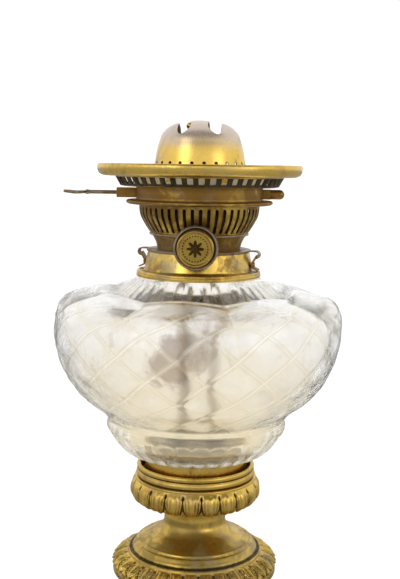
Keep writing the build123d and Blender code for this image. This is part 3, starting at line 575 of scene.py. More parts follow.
def finishes():
    """Every finish of the lamp by its name, made once."""
    if "aged_gold" not in bpy.data.materials:
        c = bpy.context.scene.lamp_colours
        gold, brown, film = tuple(c.gold), tuple(c.brown), tuple(c.film)
        # bright metal, brown and film colours, then worn, polish and film
        for name, *look in (
                ("aged_gold", gold, brown, film, 0.75, 0.28, 0.3),
                ("collar_brass", gold, brown, (0.30, 0.29, 0.22), 0.6, 0.28, 0.55),
                # pale_brass is pale all over: it paints light on the chimney holder, which shows through the
                # gallery's slots.
                ("pale_brass", (0.80, 0.72, 0.55), (0.58, 0.48, 0.34), (0.7, 0.65, 0.57), 0.7, 0.45, 1.0),
                ("brown_brass", shade(gold, 0.7), brown, film, 0.02, 0.33, 0.4),
                ("basket_brass", shade(gold, 0.7), shade(brown, 0.8), film, 0.25, 0.36, 0.5),
                # sooted_brass is near black: soot, and painted shade inside the basket.
                ("sooted_brass", shade(gold, 0.12), shade(brown, 0.15), shade(film, 0.15), 0.3, 0.6, 0.5),
                ("film_brass", shade(film, 0.95), brown, shade(film, 0.7), 0.4, 0.34, 0.6)):
            aged_brass(name, *look)
        for name, *look in (
                ("chased_brass", shade(gold, 0.95), brown, film, 0.6, 0.34, 0.35),
                ("foot_brass", shade(gold, 0.86), (0.20, 0.14, 0.05), (0.33, 0.29, 0.19), 0.4, 0.33, 0.65),
                ("rim_brass", shade(gold, 0.95), shade(film, 0.5), film, 0.5, 0.32, 0.4),
                ("chased_film", shade(film, 1.1), brown, shade(film, 0.8), 0.5, 0.32, 0.35),
                ("chased_gold", shade(gold, 0.62), shade(brown, 0.8), shade(film, 0.8), 0.4, 0.34, 0.35)):
            aged_brass(name, *look, hollow=True)
        aged_brass("flame_brass", shade(gold, 1.08), brown, shade(film, 1.4), 0.8, 0.27, 0.6,
                   heat=(DOME_TOP - 13.0) * MM)
        pearl_glass("pressed_pearl", tuple(c.pearl), tuple(c.champagne), tuple(c.smoke))
        plain_metal("dull_steel", (0.45, 0.44, 0.42), (0.2, 0.17, 0.14), 0.32)
        plain_metal("cast_iron", (0.13, 0.12, 0.12), (0.06, 0.05, 0.05), 0.6)
        dry_surface("green_baize", (0.05, 0.13, 0.07), (0.02, 0.06, 0.03), 1800.0, 0.0006, 0.4)
        dry_surface("old_plaster", (0.9, 0.87, 0.8), (0.62, 0.57, 0.48), 900.0, 0.0003)
        cotton_braid("cotton_braid", (0.86, 0.78, 0.64), (0.03, 0.025, 0.02))
    return bpy.data.materials


# ================================================================ settings
class LampSizes(PropertyGroup):
    """Sizes of the ornament that the CAD frame leaves plain."""
    quilt_depth: FloatProperty(name="Quilt depth", description="Depth of the glass between its pillows, mm",
                               default=0.9, min=0.0)
    thread: FloatProperty(name="Thread height", description="Height of the raised threads on the glass, mm",
                          default=0.7, min=0.0)
    lobe_depth: FloatProperty(name="Lobe depth", description="Depth of the valleys in the shoulder, mm",
                              default=4.6, min=0.0)
    gadroon_depth: FloatProperty(name="Gadroon depth", description="Depth between the ribs of the bulge, mm",
                                 default=1.1, min=0.0)
    knop_leaves: IntProperty(name="Knop leaves", description="Leaves round the knop", default=22, min=6)
    foot_leaves: IntProperty(name="Foot leaves", description="Leaves round the foot", default=30, min=6)
    relief: FloatProperty(name="Leaf relief", description="Height of the cast leaves, mm",
                          default=1.3, min=0.0)
    knurls: IntProperty(name="Knurls", description="Ridges round the rear winder knob", default=84, min=12)


class LampColours(PropertyGroup):
    """Colours of the finishes."""
    gold: FloatVectorProperty(name="Gold", description="Bright brass", subtype="COLOR",
                              default=(0.74, 0.50, 0.11), min=0.0, max=1.0)
    brown: FloatVectorProperty(name="Brown", description="Browned brass", subtype="COLOR",
                               default=(0.23, 0.115, 0.03), min=0.0, max=1.0)
    film: FloatVectorProperty(name="Film", description="Violet-grey tarnish", subtype="COLOR",
                              default=(0.34, 0.28, 0.22), min=0.0, max=1.0)
    # Pearl, a shade lighter, paints the highlight along the glass's threads.
    pearl: FloatVectorProperty(name="Pearl", description="Pearl glass", subtype="COLOR",
                               default=(0.985, 0.98, 0.965), min=0.0, max=1.0)
    # Champagne also paints shade in the glass's hollows, and a darker copy of it the shadow lines beside the
    # threads.
    champagne: FloatVectorProperty(name="Champagne", description="Hollows of the glass", subtype="COLOR",
                                   default=(0.95, 0.89, 0.74), min=0.0, max=1.0)
    # Smoke also paints the shade of the font's dark inside on its front.
    smoke: FloatVectorProperty(name="Smoke", description="Smoky marbling", subtype="COLOR",
                               default=(0.54, 0.47, 0.42), min=0.0, max=1.0)


# ================================================================ operators
class LampOperator:
    """What the lamp's operators share."""
    bl_options = {"REGISTER", "UNDO"}

    def sizes(self):
        return bpy.context.scene.lamp_sizes


class OBJECT_OT_lamp_foot(LampOperator, Operator):
    """Spreading foot with turned rings and a cast border of leaves"""
    bl_idname = "object.lamp_foot"
    bl_label = "Foot"

    def execute(self, context):
        size = self.sizes()
        r, top, wall = FOOT_R, FOOT_TOP, 2.4
        dome = curve([(STEM_R, top), (STEM_R + 0.3, top - 3.6), (STEM_R + 2.8, top - 7.2),
                      (r - 20.6, top - 10.4), (r - 16.2, top - 12.7)], 10)
        rings = rounded([(r - 16.2, top - 12.7), (r - 15.3, top - 12.6), (r - 14.7, top - 13.8),
                         (r - 14.0, top - 14.2), (r - 13.2, top - 14.1), (r - 12.2, top - 15.6),
                         (r - 11.4, top - 16.6), (r - 10.7, top - 17.9), (r - 9.8, top - 17.9),
                         (r - 8.7, top - 18.7), (r - 8.5, top - 19.7)], 0.45, closed=False, steps=3)
        border = even(curve([(r - 8.5, top - 19.7), (r - 4.6, top - 20.9), (r - 1.4, top - 23.0),
                             (r, top - 25.4), (r - 0.8, top - 27.0)], 12), 0.36)
        rim = rounded([(r - 0.8, top - 27.0), (r - 0.6, top - 27.4), (r - 0.6, 0), (r - 3.0, 0),
                       (r - 3.0, 4.5), (r - 10.6, 9.0), (25.0, 15.6), (STEM_R - wall, top - 5.5),
                       (STEM_R - wall, top - wall), (ROD_R, top - wall), (ROD_R, top), (STEM_R, top)],
                      0.3, closed=False, steps=3)
        line = np.vstack([dome[:-1], rings[:-1], border[:-1], rim[:-1]])[::-1]
        columns = size.foot_leaves * 20
        relief = np.zeros((len(line), columns))
        # hollow marks dirt and painted shade for the finish: between the leaves and in the turned groove.
        hollow = np.full((len(line), columns), 0.25)
        first = len(rim) - 1
        down = np.linspace(1, 0, len(border))[:, None]
        height = leaf_border(ring_angles(columns)[None, :], down * 1.12, size.foot_leaves)
        zone = slice(first, first + len(border))
        edge = smooth(down / 0.08) * smooth((1 - down) / 0.06 + 0.2)
        relief[zone] = (height - 1) * size.relief * edge
        hollow[zone] = (1 - height) * edge
        groove = np.abs(line[:, 1] - (top - 17.9)) < 0.5
        hollow[groove & (line[:, 0] > r - 12)] = 0.8
        shape = turned(line, columns, True, relief)
        add_piece("lamp_foot", shape, "stand", ["foot"], "foot_brass",
                  {"hollow": hollow})
        return {"FINISHED"}


class OBJECT_OT_lamp_knop(LampOperator, Operator):
    """Knop with a cast band of leaves, and the ringed cup above it"""
    bl_idname = "object.lamp_knop"
    bl_label = "Knop and cup"

    def execute(self, context):
        size = self.sizes()
        r, z, top = KNOP_R, FOOT_TOP, KNOP_TOP
        neck = curve([(STEM_R, z), (STEM_R - 0.1, z + 2.4), (STEM_R + 0.5, z + 4.6),
                      (STEM_R + 3.5, z + 6.3)], 6)
        band = even(curve([(STEM_R + 3.5, z + 6.3), (r - 10.0, z + 7.2), (r - 3.0, z + 9.4),
                           (r - 0.5, z + 12.2), (r, z + 15.4), (r - 0.7, z + 18.6),
                           (r - 2.4, top - 1.7)], 10), 0.4)
        upper = rounded([(r - 2.4, top - 1.7), (r - 2.7, top - 1.3), (r - 2.2, top - 0.9),
                         (r - 2.4, top - 0.2), (r - 3.6, top), (r - 6, top), (r - 6, z + 13.5),
                         (STEM_R - 3, z + 9.0), (STEM_R - 3, z + 3.0), (ROD_R, z + 3.0), (ROD_R, z),
                         (STEM_R, z)], 0.3, closed=False, steps=3)
        line = np.vstack([neck[:-1], band[:-1], upper[:-1]])
        columns = size.knop_leaves * 24
        relief = np.zeros((len(line), columns))
        # hollow marks dirt and painted shade between the knop's leaves.
        hollow = np.full((len(line), columns), 0.25)
        down = np.linspace(1.6, 0, len(band))[:, None]
        height = leaf_border(ring_angles(columns)[None, :], down, size.knop_leaves)
        edge = smooth(down / 0.06) * smooth((1.35 - down) / 0.1)
        zone = slice(len(neck) - 1, len(neck) - 1 + len(band))
        relief[zone] = (height - 1) * size.relief * edge
        hollow[zone] = np.clip((1 - height) * 1.5, 0, 1) * np.maximum(edge, 0.4)
        add_piece("lamp_knop", turned(line, columns, True, relief), "stand", ["knop"],
                  "chased_brass", {"hollow": hollow})
        c, low_edge, floor = CUP_R, KNOP_TOP, low("font_socket")
        cup = rounded([(c - 0.8, low_edge), (c - 0.9, low_edge + 0.5), (c - 0.2, low_edge + 0.9),
                       (c, low_edge + 2.1), (c - 0.25, low_edge + 3.0), (c - 0.45, low_edge + 3.1),
                       (c - 0.4, low_edge + 3.6), (c - 1.1, low_edge + 4.0), (c - 0.5, low_edge + 4.5),
                       (c - 0.3, low_edge + 5.6), (c - 0.6, low_edge + 6.4), (c - 1.4, CUP_TOP),
                       (c - 2.3, CUP_TOP - 0.4), (c - 2.5, floor), (ROD_R, floor), (ROD_R, low_edge)], 0.35)
        # dark marks dirt and painted shade: in the groove, under the lower lip and inside the cup.
        dark = np.zeros(len(cup)) + 0.2
        dark[np.abs(cup[:, 1] - (low_edge + 4.0)) < 0.3] = 0.9
        dark[(cup[:, 1] < low_edge + 0.7) | ((cup[:, 0] < c - 2.2) & (cup[:, 1] < CUP_TOP - 1.0))] = 0.9
        add_piece("lamp_cup", turned(cup, ROUND, True), "stand", ["font_cup"],
                  "chased_brass", {"hollow": np.repeat(dark, ROUND)})
        s = SOCKET_R
        socket = rounded([(s - 0.2, floor), (s - 0.2, floor + 2.0), (s, GLASS_LOW - 1.4), (s, GLASS_LOW),
                          (s - 1.6, GLASS_LOW), (s - 1.6, floor)], 0.25)
        add_piece("lamp_socket", turned(socket, ROUND, True), "stand", ["font_socket"],
                  "aged_gold")
        return {"FINISHED"}


class OBJECT_OT_lamp_glass(LampOperator, Operator):
    """Font of pearl glass: gadrooned bulge, quilted body, lobed shoulder and fluted skirt"""
    bl_idname = "object.lamp_glass"
    bl_label = "Glass font"

    def execute(self, context):
        size = self.sizes()
        waist_r, waist_z, crest_z = 46.6, GLASS_LOW + 20.4, SEAT - 6.6
        peg_r, neck_r = 17.5, 32.6
        span = crest_z - waist_z
        peg = rounded([(0, low("glass_font")), (peg_r, low("glass_font")), (peg_r, GLASS_LOW),
                       (SOCKET_R + 0.6, GLASS_LOW)], 0.5, closed=False)
        bulge = even(curve([(SOCKET_R + 0.6, GLASS_LOW), (34.6, GLASS_LOW + 0.8), (42.1, GLASS_LOW + 6.2),
                            (46.4, GLASS_LOW + 13.2), (47.9, GLASS_LOW + 17.0), (waist_r, waist_z)], 16), 0.8)
        shares = [(0, 0), (0.18, 0.084), (0.455, 0.173), (0.764, 0.34), (0.939, 0.538), (1, 0.718),
                  (0.985, 0.8), (0.926, 0.892), (0.81, 0.938), (0.653, 0.962), (0.38, 0.99), (0.165, 1.0),
                  (0.045, 0.966), (0.0, 0.925)]
        side = curve([(waist_r + (FONT_R - waist_r) * a, waist_z + span * b) for a, b in shares], 16)
        skirt = even(curve([side[-1], (44.9, SEAT - 10.2), (41.2, SEAT - 7.0), (36.6, SEAT - 3.5),
                            (33.6, SEAT - 1.4), (neck_r, SEAT)], 12), 0.75)
        rest = rounded([(neck_r, SEAT), (23, SEAT), (23, NECK_TOP), (19.5, NECK_TOP), (19.5, SEAT - 10.6),
                        (50, SEAT - 11.6), (66.5, SEAT - 15.5), (72.0, SEAT - 26), (72.0, SEAT - 33),
                        (67.5, waist_z + 29), (58, waist_z + 15), (43, waist_z + 2), (43.4, waist_z - 4),
                        (39, GLASS_LOW + 9), (28, GLASS_LOW + 5), (0, GLASS_LOW + 5)],
                       3.0, closed=False, steps=3)
        # crossings of the slanting lines, as heights on the side up to the shoulder, then along it
        s = lengths(side)
        low_half = side[:, 1] < crest_z - 6.0
        levels = np.array([2.4, 14.4, 21.4, 32.4, 43.4, 55.4, 62.4])
        levels = np.interp(waist_z + levels, side[low_half, 1], s[low_half])
        crossing = np.concatenate([levels[1:], [levels[-1] + 11.0, levels[-1] + 23.0, s[-1]]])
        count = np.array([0.0, 1, 2, 3, 4, 5, 6, 7, 7.5])
        below = np.array([[-2.0, 0.0], [-1.0, crossing[0] * 0.52]])
        order = np.vstack([below, np.stack([count, crossing], 1)])
        fine = curve(order, 24)
        n = np.arange(-24, 91) / 12.0
        rows = np.interp(n, fine[:, 0], fine[:, 1])
        body = along(side, rows)
        line = np.vstack([peg[:-1], bulge[:-1], body[:-1], skirt[:-1], rest])
        angle = ring_angles(COLUMNS, QUILT_START)[None, :]
        relief = np.zeros((len(line), COLUMNS))
        # hollow is where the glass's finish paints shade: in the gadroons, between the pillows, in the lobes'
        # valleys, in the flutes and in the channel under the skirt.
        hollow = np.full((len(line), COLUMNS), 0.15)

        # bulge: upright ribs with arched heads
        start = len(peg) - 1
        share = np.linspace(0, 1, len(bulge))[:-1, None]
        rib = np.abs(np.cos(GADROONS / 2 * (angle - QUILT_START))) ** 0.75
        head = smooth((0.9 - 0.16 * (1 - rib) ** 2 - share) / 0.1)
        reach = head * (0.5 + 0.5 * smooth(share / 0.1))
        zone = slice(start, start + len(bulge) - 1)
        relief[zone] = -size.gadroon_depth * (1 - rib) * reach - 0.5 * size.gadroon_depth * head
        hollow[zone] = np.clip((1 - rib) * reach * 1.1 + bell(share - 1, 0.08)
                               + bell(share - 0.88, 0.03) * 0.5, 0, 1)

        # body: pillows between slanting lines, threads on the lines, valleys between the shoulder's lobes
        start += len(bulge) - 1
        zone = slice(start, start + len(body) - 1)
        m = n[:-1, None]
        p = (angle - QUILT_START) / (2 * math.pi / QUILT_LINES)
        a, b = (p - (m - 1) / 2) % 1, (p + (m - 1) / 2) % 1
        da, db = np.minimum(a, 1 - a), np.minimum(b, 1 - b)
        pillow = (1 - (1 - 2 * da) ** 2.2) * (1 - (1 - 2 * db) ** 2.2)
        thread = np.maximum(bell(da, 0.03), 0.8 * bell(db, 0.03))
        fade = smooth((m + 2.0) / 1.0) * smooth((6.6 - m) / 1.6)
        lobe = np.abs(np.cos(LOBES / 2 * (angle - QUILT_START) + math.pi / 2)) ** 0.8
        valley = (1 - lobe) * smooth((m - 2.6) / 2.8) * smooth((7.6 - m) / 1.2)
        quilt = size.thread * thread - size.quilt_depth * (1 - pillow)
        relief[zone] = quilt * fade - size.lobe_depth * valley
        hollow[zone] = np.clip((1 - pillow) ** 2 * 0.75 * fade + 0.5 * valley, 0, 1)
        lines = np.zeros((2, len(line), COLUMNS))
        lines[0, zone], lines[1, zone] = np.cos(2 * math.pi * a) * fade, np.cos(2 * math.pi * b) * fade

        # skirt: flutes that fade towards the collar
        start += len(body) - 1
        zone = slice(start, start + len(skirt) - 1)
        share = np.linspace(0, 1, len(skirt))[:-1, None]
        flute = np.abs(np.cos(FLUTES / 2 * (angle - QUILT_START))) ** 0.7
        depth = smooth(share / 0.12 + 0.25) * smooth((1.0 - share) / 0.25)
        relief[zone] = -FLUTE_DEPTH * (1 - flute) * depth
        hollow[zone] = np.clip((1 - flute) * 1.1 * depth + bell(share, 0.06) * 0.6, 0, 1)
        shape = turned(line, COLUMNS, False, relief, QUILT_START)
        fields = {key: np.concatenate([values[1:-1].ravel(), [0.3, 0.3]])
                  for key, values in (("hollow", hollow), ("rising", lines[0]), ("falling", lines[1]))}
        add_piece("lamp_font", shape, "stand", ["glass_font"], "pressed_pearl", fields,
                  crease=75.0)
        return {"FINISHED"}


class OBJECT_OT_lamp_collar(LampOperator, Operator):
    """Collar cemented on the font's neck"""
    bl_idname = "object.lamp_collar"
    bl_label = "Collar"

    def execute(self, context):
        r, z = high("collar", 0), SEAT
        wall_r, top_r = 28.6, 26.7
        line = rounded([(wall_r - 0.9, z), (r - 0.7, z), (r, z + 0.5), (r, z + 1.7), (r - 0.35, z + 2.1),
                        (r, z + 2.5), (r - 0.4, z + 3.3), (r - 1.2, z + 3.5), (wall_r + 0.3, z + 3.6),
                        (wall_r - 0.1, z + 4.1), (top_r, BURNER - 0.3), (top_r - 0.3, BURNER),
                        (top_r - 0.9, BURNER), (wall_r - 0.9, z + 3.7)], 0.3)
        add_piece("lamp_collar", turned(line, ROUND, True), "stand", ["collar"],
                  "collar_brass")
        return {"FINISHED"}


class OBJECT_OT_lamp_burner(LampOperator, Operator):
    """Spun shell of the burner: cone, slotted air basket, flange and band"""
    bl_idname = "object.lamp_burner"
    bl_label = "Burner shell"

    def execute(self, context):
        base, bead_z, flange_z = low("burner_cone"), low("air_basket"), low("burner_flange")
        foot_r, mouth_r, basket_r = 21.6, 25.4, 31.6
        rise = bead_z - base
        cone = curve([(foot_r, base), (foot_r + 1.1, base + 0.48 * rise), (foot_r + 2.4, base + 0.78 * rise),
                      (mouth_r, bead_z)], 12)
        bush = 3.0

        def bush_gap(angle, place):
            height = np.interp(place, lengths(cone), cone[:, 1])
            radius = np.interp(place, lengths(cone), cone[:, 0])
            across = off_centre(angle, 1) * radius
            return np.hypot(across, height - KNOB) - bush

        add_piece("lamp_cone", pierced(cone, SHEET, ROUND, bush_gap), "burner", ["burner_cone"],
                  "brown_brass")
        bead = ring_angles(16)
        ring = np.stack([mouth_r + 0.15 + 0.55 * np.cos(bead), bead_z - 0.2 + 0.55 * np.sin(bead)], 1)
        add_piece("lamp_cone_bead", turned(ring, ROUND, True), "burner", ["burner_cone"],
                  "film_brass")
        rise = flange_z - bead_z
        basket = curve([(mouth_r, bead_z), (mouth_r + 3.3, bead_z + 0.34 * rise),
                        (mouth_r + 5.4, bead_z + 0.62 * rise), (basket_r, flange_z)], 12)
        total = lengths(basket)[-1]

        def slot_distance(angle, place):
            radius = np.interp(place, lengths(basket), basket[:, 0])
            across = off_centre(angle, SLOTS, math.pi / SLOTS) * radius
            half = 0.78 + 0.14 * place / total
            return slot_gap(across, place - total * 0.5, half, total * 0.5 - 1.3)

        add_piece("lamp_basket", pierced(basket, SHEET, SLOTS * 12, slot_distance), "burner", ["air_basket"],
                  "basket_brass")
        # A near-black screen inside the basket: soot, and painted shade of the burner's inside seen through
        # the slots.
        screen = np.array([(mouth_r - 1.0, bead_z + 0.4), (mouth_r - 0.9, flange_z + 0.4)])

        def pinhole(angle, place):
            return np.hypot(off_centre(angle, 40) * mouth_r, place - 0.52 * rise) - 0.5

        add_piece("lamp_basket_screen", pierced(screen, 0.4, 480, pinhole), "burner", ["air_basket"],
                  "sooted_brass")
        z, top, r = flange_z, high("burner_flange"), high("burner_flange", 0)
        flange = rounded([(30.0, z), (r - 4.0, z), (r - 1.2, z + 0.15), (r, z + 0.9), (r, z + 1.7),
                          (r - 0.7, top - 0.1), (r - 2.2, top), (30.0, top)], 0.5)
        add_piece("lamp_flange", turned(flange, ROUND, True), "burner", ["burner_flange"],
                  "brown_brass")
        z, top, r = low("burner_band"), high("burner_band"), high("burner_band", 0)
        band = rounded([(r - 0.1, z), (r, z + 0.4), (r - 0.25, z + 0.8), (r - 0.1, z + 3.4),
                        (r - 0.25, top - 0.8), (r, top - 0.4), (r - 0.1, top)], 0.3, closed=False)
        middle = np.interp(high("bail") - 1.0, band[:, 1], lengths(band))

        def window_gap(angle, place):
            return box_gap(off_centre(angle, 2, math.pi / 2) * r, place - middle, 3.2, 3.1)

        add_piece("lamp_band", pierced(band, 0.8, 512, window_gap, np.linspace(0, lengths(band)[-1], 26)),
                  "burner", ["burner_band"], "brown_brass")
        return {"FINISHED"}


class OBJECT_OT_lamp_gallery(LampOperator, Operator):
    """Gallery: floor, slotted skirt, ledge for the shade and its rolled rim"""
    bl_idname = "object.lamp_gallery"
    bl_label = "Gallery"

    def execute(self, context):
        r, top = high("gallery", 0), high("gallery")
        floor = low("chimney_holder")
        low_z, ledge = floor - 0.9, floor + 5.4
        line = rounded([(26.5, low_z), (40.4, low_z), (41.3, low_z + 0.4), (44.1, ledge - 0.9),
                        (r - 3.4, ledge - 0.95), (r - 1.2, ledge), (r - 0.2, ledge + 1.6), (r, ledge + 3.4),
                        (r - 0.25, top - 0.5), (r - 0.9, top)],
                       [1, 0.3, 0.5, 0.5, 1.2, 1.2, 1.2, 1.0, 0.5, 1], closed=False, steps=5)
        s = lengths(line)
        total = s[-1]
        wall = np.interp(s, [0, 0.6, total - 9, total - 4, total - 1.0, total - 0.3, total],
                         [0.5, 0.9, 0.9, 1.6, 1.7, 1.3, 0.7])
        middle = np.interp(low_z + 3.1, line[:, 1], s)

        def slot_distance(angle, place):
            across = off_centre(angle, SLOTS, math.pi / SLOTS) * 42.6
            return box_gap(across, place - middle, 1.5, 1.95)

        start, end = middle - 3.2, middle + 3.2
        rows = np.concatenate([np.linspace(0, start, 9)[:-1], np.linspace(start, end, 17),
                               np.linspace(end, total, 34)[1:]])
        shape = pierced(line, wall, SLOTS * 12, slot_distance, rows)
        # The whole slotted skirt inside the rim is marked, so the finish darkens its pillars with painted
        # shade and dirt.
        height = shape[0][:, 2] - low_z
        hollow = smooth(height / 0.8) * smooth((5.4 - height) / 0.8)
        add_piece("lamp_gallery", shape, "gallery", ["gallery"], "rim_brass",
                  {"hollow": hollow})
        return {"FINISHED"}


class OBJECT_OT_lamp_dome(LampOperator, Operator):
    """Flame dome with its row of air holes and two flame slots"""
    bl_idname = "object.lamp_dome"
    bl_label = "Dome"

    def execute(self, context):
        z, top, r = low("dome"), DOME_TOP, 23.6
        flange_r = high("dome", 0)
        side = curve([(r, z + 10.8), (0.956 * r, z + 17.2), (0.91 * r, z + 21.4), (0.83 * r, z + 26.4),
                      (0.66 * r, top - 3.2), (0.33 * r, top - 0.7), (0.03, top)], 16)
        foot = rounded([(flange_r, z + 0.6), (r + 1.5, z + 0.6), (r + 1.15, z + 1.6), (r, z + 10.8)], 0.5,
                       closed=False)
        line = np.vstack([foot[:-1], side])
        s = lengths(line)
        holes, hole_s = 24, np.interp(z + 11.2, line[:, 1], s)

        def gap(angle, place):
            radius = np.interp(place, s, line[:, 0])
            round_hole = np.hypot(off_centre(angle, holes, math.pi / holes) * r, place - hole_s) - 0.95
            x, y = np.abs(radius * np.sin(angle)) - 7.8, radius * np.cos(angle)
            flame = np.where(place > hole_s + 2, slot_gap(x, y, 3.4, 18.0), 9.0)
            return np.minimum(round_hole, flame)

        start, end = hole_s - 1.6, hole_s + 1.6
        rows = np.concatenate([np.linspace(0, start, 22)[:-1], np.linspace(start, end, 13),
                               np.linspace(end, s[-1], 62)[1:]])
        shape = pierced(line, SHEET, holes * 16, gap, rows)
        add_piece("lamp_dome", shape, "dome", ["dome"], "flame_brass")
        return {"FINISHED"}


class OBJECT_OT_lamp_winders(LampOperator, Operator):
    """The two winder knobs: a knurled wheel, and a button with a rosette"""
    bl_idname = "object.lamp_winders"
    bl_label = "Winders"

    def execute(self, context):
        size = self.sizes()
        back, front, r = -high("winder_wheel", 1), -low("winder_wheel", 1), high("winder_wheel", 0)
        bore_r = 1.9
        line = rounded([(bore_r, back), (3.2, back), (3.2, back + 2.2), (r - 2.0, back + 2.4),
                        (r - 1.8, back + 0.6), (r - 1.0, back + 0.4), (r, back + 0.9), (r, front - 1.0),
                        (r - 0.7, front - 0.3), (r - 1.5, front - 0.5), (r - 2.0, front - 1.0),
                        (r - 2.8, front - 0.9), (r - 3.4, front - 0.2), (bore_r, front)], 0.35, steps=4)
        columns = size.knurls * 5
        rim = smooth((line[:, 0] - (r - 0.9)) / 0.5)[:, None]
        wave = 0.5 + 0.5 * np.cos(size.knurls * ring_angles(columns))[None, :]
        relief = -0.32 * rim * wave
        # hollow marks dirt and painted shade in the knurls and in the groove on the face.
        hollow = 0.2 + 0.5 * rim * wave + 0.6 * bell(line[:, :1] - (r - 2.4), 0.6)
        turned_knob(line, columns, True, relief, "lamp_winder_wheel", "wheel_winder", "winder_wheel",
                    "chased_film", hollow)
        back, front, r = -high("winder_button", 1), -low("winder_button", 1), high("winder_button", 0)
        face = front - 0.8
        edge = rounded([(0, back), (r - 0.5, back), (r, back + 0.7), (r, front - 0.7), (r - 0.4, front),
                        (r - 1.0, front), (r - 1.4, face + 0.1), (r - 2.0, face)], 0.4, closed=False, steps=4)
        plate = even(np.array([(r - 2.0, face), (0.0, face + 0.25)]), 0.12)
        line = np.vstack([edge[:-1], plate])
        columns = 288
        angle = ring_angles(columns)[None, :]
        radius = line[:, :1]
        on_face = np.concatenate([np.zeros(len(edge) - 1), np.ones(len(plate))])[:, None]
        petals = 8
        petal = off_centre(angle, petals) * radius
        length = (radius - 2.6) / 1.7
        flower = smooth((0.75 * np.sqrt(np.clip(1 - length**2, 0, 1)) - np.abs(petal)) / 0.2 + 0.5)
        heart = smooth((0.85 - radius) / 0.2 + 0.5)
        beads = smooth((0.34 - np.hypot(off_centre(angle, 28) * radius, radius - (r - 2.9))) / 0.14 + 0.5)
        cut = np.maximum(np.maximum(flower * (np.abs(length) < 1), heart), beads) * on_face
        relief = 0.22 * cut
        outline = bell(cut - 0.5, 0.28) * on_face
        # hollow darkens the rosette and, most, its outline: dirt and painted shade.
        hollow = np.clip(0.1 + 1.3 * outline + 0.9 * cut, 0, 1)
        turned_knob(line, columns, False, relief, "lamp_winder_button", "button_winder", "winder_button",
                    "chased_gold", hollow)
        return {"FINISHED"}


def turned_knob(line, columns, closed, relief, name, body, node, finish, hollow):
    """A turned shape laid on its side: its axis along -Y at the height of the winders."""
    points, faces = turned(line, columns, closed, relief)
    points = np.stack([points[:, 0], -points[:, 2], points[:, 1] + KNOB], 1)
    dark = hollow.ravel() if closed else np.concatenate([hollow[1:-1].ravel(), [0.1, 0.3]])
    return add_piece(name, (points, faces), body, [node], finish, {"hollow": dark})


class OBJECT_OT_lamp_handle(LampOperator, Operator):
    """Trefoil loop by which the extinguisher is turned"""
    bl_idname = "object.lamp_handle"
    bl_label = "Extinguisher handle"

    def execute(self, context):
        left, right = low("extinguisher_handle", 0), high("extinguisher_handle", 0)
        z = (low("extinguisher_handle") + high("extinguisher_handle")) / 2
        a = ring_angles(120)
        loop_end = right - 1.6
        mid, mean = (left + loop_end) / 2 + 0.7, (loop_end - left) / 2 - 0.9
        r = mean + 0.95 * np.cos(3 * a)
        path = np.stack([mid - r * np.cos(a), -r * np.sin(a) * 0.94, z + 0.25 * np.cos(2 * a)], 1)
        loop, faces = tube(path, 0.72, 14, 1.05)
        tail_line = rounded([(0, 0), (1.1, 0), (1.25, 0.8), (1.0, 3.0), (0, 3.4)], 0.3, closed=False)
        tail, tail_faces = turned(tail_line, 24, False)
        tail = np.stack([tail[:, 2] + loop_end - 1.5, tail[:, 1], tail[:, 0] * -1 + z], 1)
        shape = np.vstack([loop, tail]), faces + [[i + len(loop) for i in f] for f in tail_faces]
        add_piece("lamp_handle", shape, "extinguisher", ["extinguisher_handle"],
                  "film_brass")
        return {"FINISHED"}


class OBJECT_OT_lamp_wicks(LampOperator, Operator):
    """The two flat cotton wicks"""
    bl_idname = "object.lamp_wicks"
    bl_label = "Wicks"

    def execute(self, context):
        for side in ("left", "right"):
            node = "wick_" + side
            start, end = (np.array(corner) / MM for corner in BOX[node])
            middle, half = (start + end) / 2, (end - start) / 2
            a = ring_angles(96)
            x, y = np.cos(a), np.sin(a)
            section = np.stack([np.sign(x) * np.abs(x) ** 0.5 * half[0],
                                np.sign(y) * np.abs(y) ** 0.12 * half[1]], 1)
            ends = np.array([0.0, 0.25, 0.55])
            rows = np.concatenate([start[2] + ends, np.linspace(start[2] + 1.5, end[2] - 1.5, 120),
                                   end[2] - ends[::-1]])
            inset = 1 - 0.16 * (smooth(1 - (rows - start[2]) / 0.6) + smooth(1 - (end[2] - rows) / 0.6))
            ply = 1 - 0.05 * np.abs(np.sin(rows * 2.2))[:, None] * np.abs(np.cos(5 * a))[None, :]
            grid = section[None] * (inset[:, None] * ply)[..., None]
            z = np.broadcast_to(rows[:, None], grid.shape[:2])
            points = np.concatenate([grid + middle[:2], z[..., None]], -1)
            shape = capped(points, [[*middle[:2], start[2]], [*middle[:2], end[2]]])
            add_piece("lamp_" + node, shape, BODY_OF[node], [node], "cotton_braid", crease=60.0)
        return {"FINISHED"}


CARRIED = {
    # The chimney holder's pale finish is painted light, seen through the gallery's slots.
    "pale_brass": ["chimney_holder"],
    "aged_gold": ["collar_rivets", "dome_stud",
                  "winder_bush", "winder_sleeve", "snuffer_frame", "snuffer_flap_left", "snuffer_flap_right",
                  "wick_tube_left", "wick_tube_right", "spindle_plate_front", "spindle_plate_rear",
                  "wheel_pinion", "button_pinion", "feed_gear_left", "feed_gear_right", "feed_wheels_left",
                  "feed_wheels_right"],
    "film_brass": ["burner_base", "bail", "flap_pins"],
    "brown_brass": ["bail_bearing_left", "bail_bearing_right", "collar_catch_left", "collar_catch_right"],
    "dull_steel": ["winder_spindle", "feed_spindle_left", "feed_spindle_right", "tie_rod", "tie_washers",
                   "tie_nuts"],
    "cast_iron": ["foot_weight"],
    "green_baize": ["base_pad"],
    "old_plaster": ["font_plaster", "collar_cement"],
}


class OBJECT_OT_lamp_fittings(LampOperator, Operator):
    """Small fittings and works that keep their CAD shape, with broken edges and their finish"""
    bl_idname = "object.lamp_fittings"
    bl_label = "Fittings"

    def execute(self, context):
        for finish, nodes in CARRIED.items():
            for node in nodes:
                dressed(node, finish)
        return {"FINISHED"}


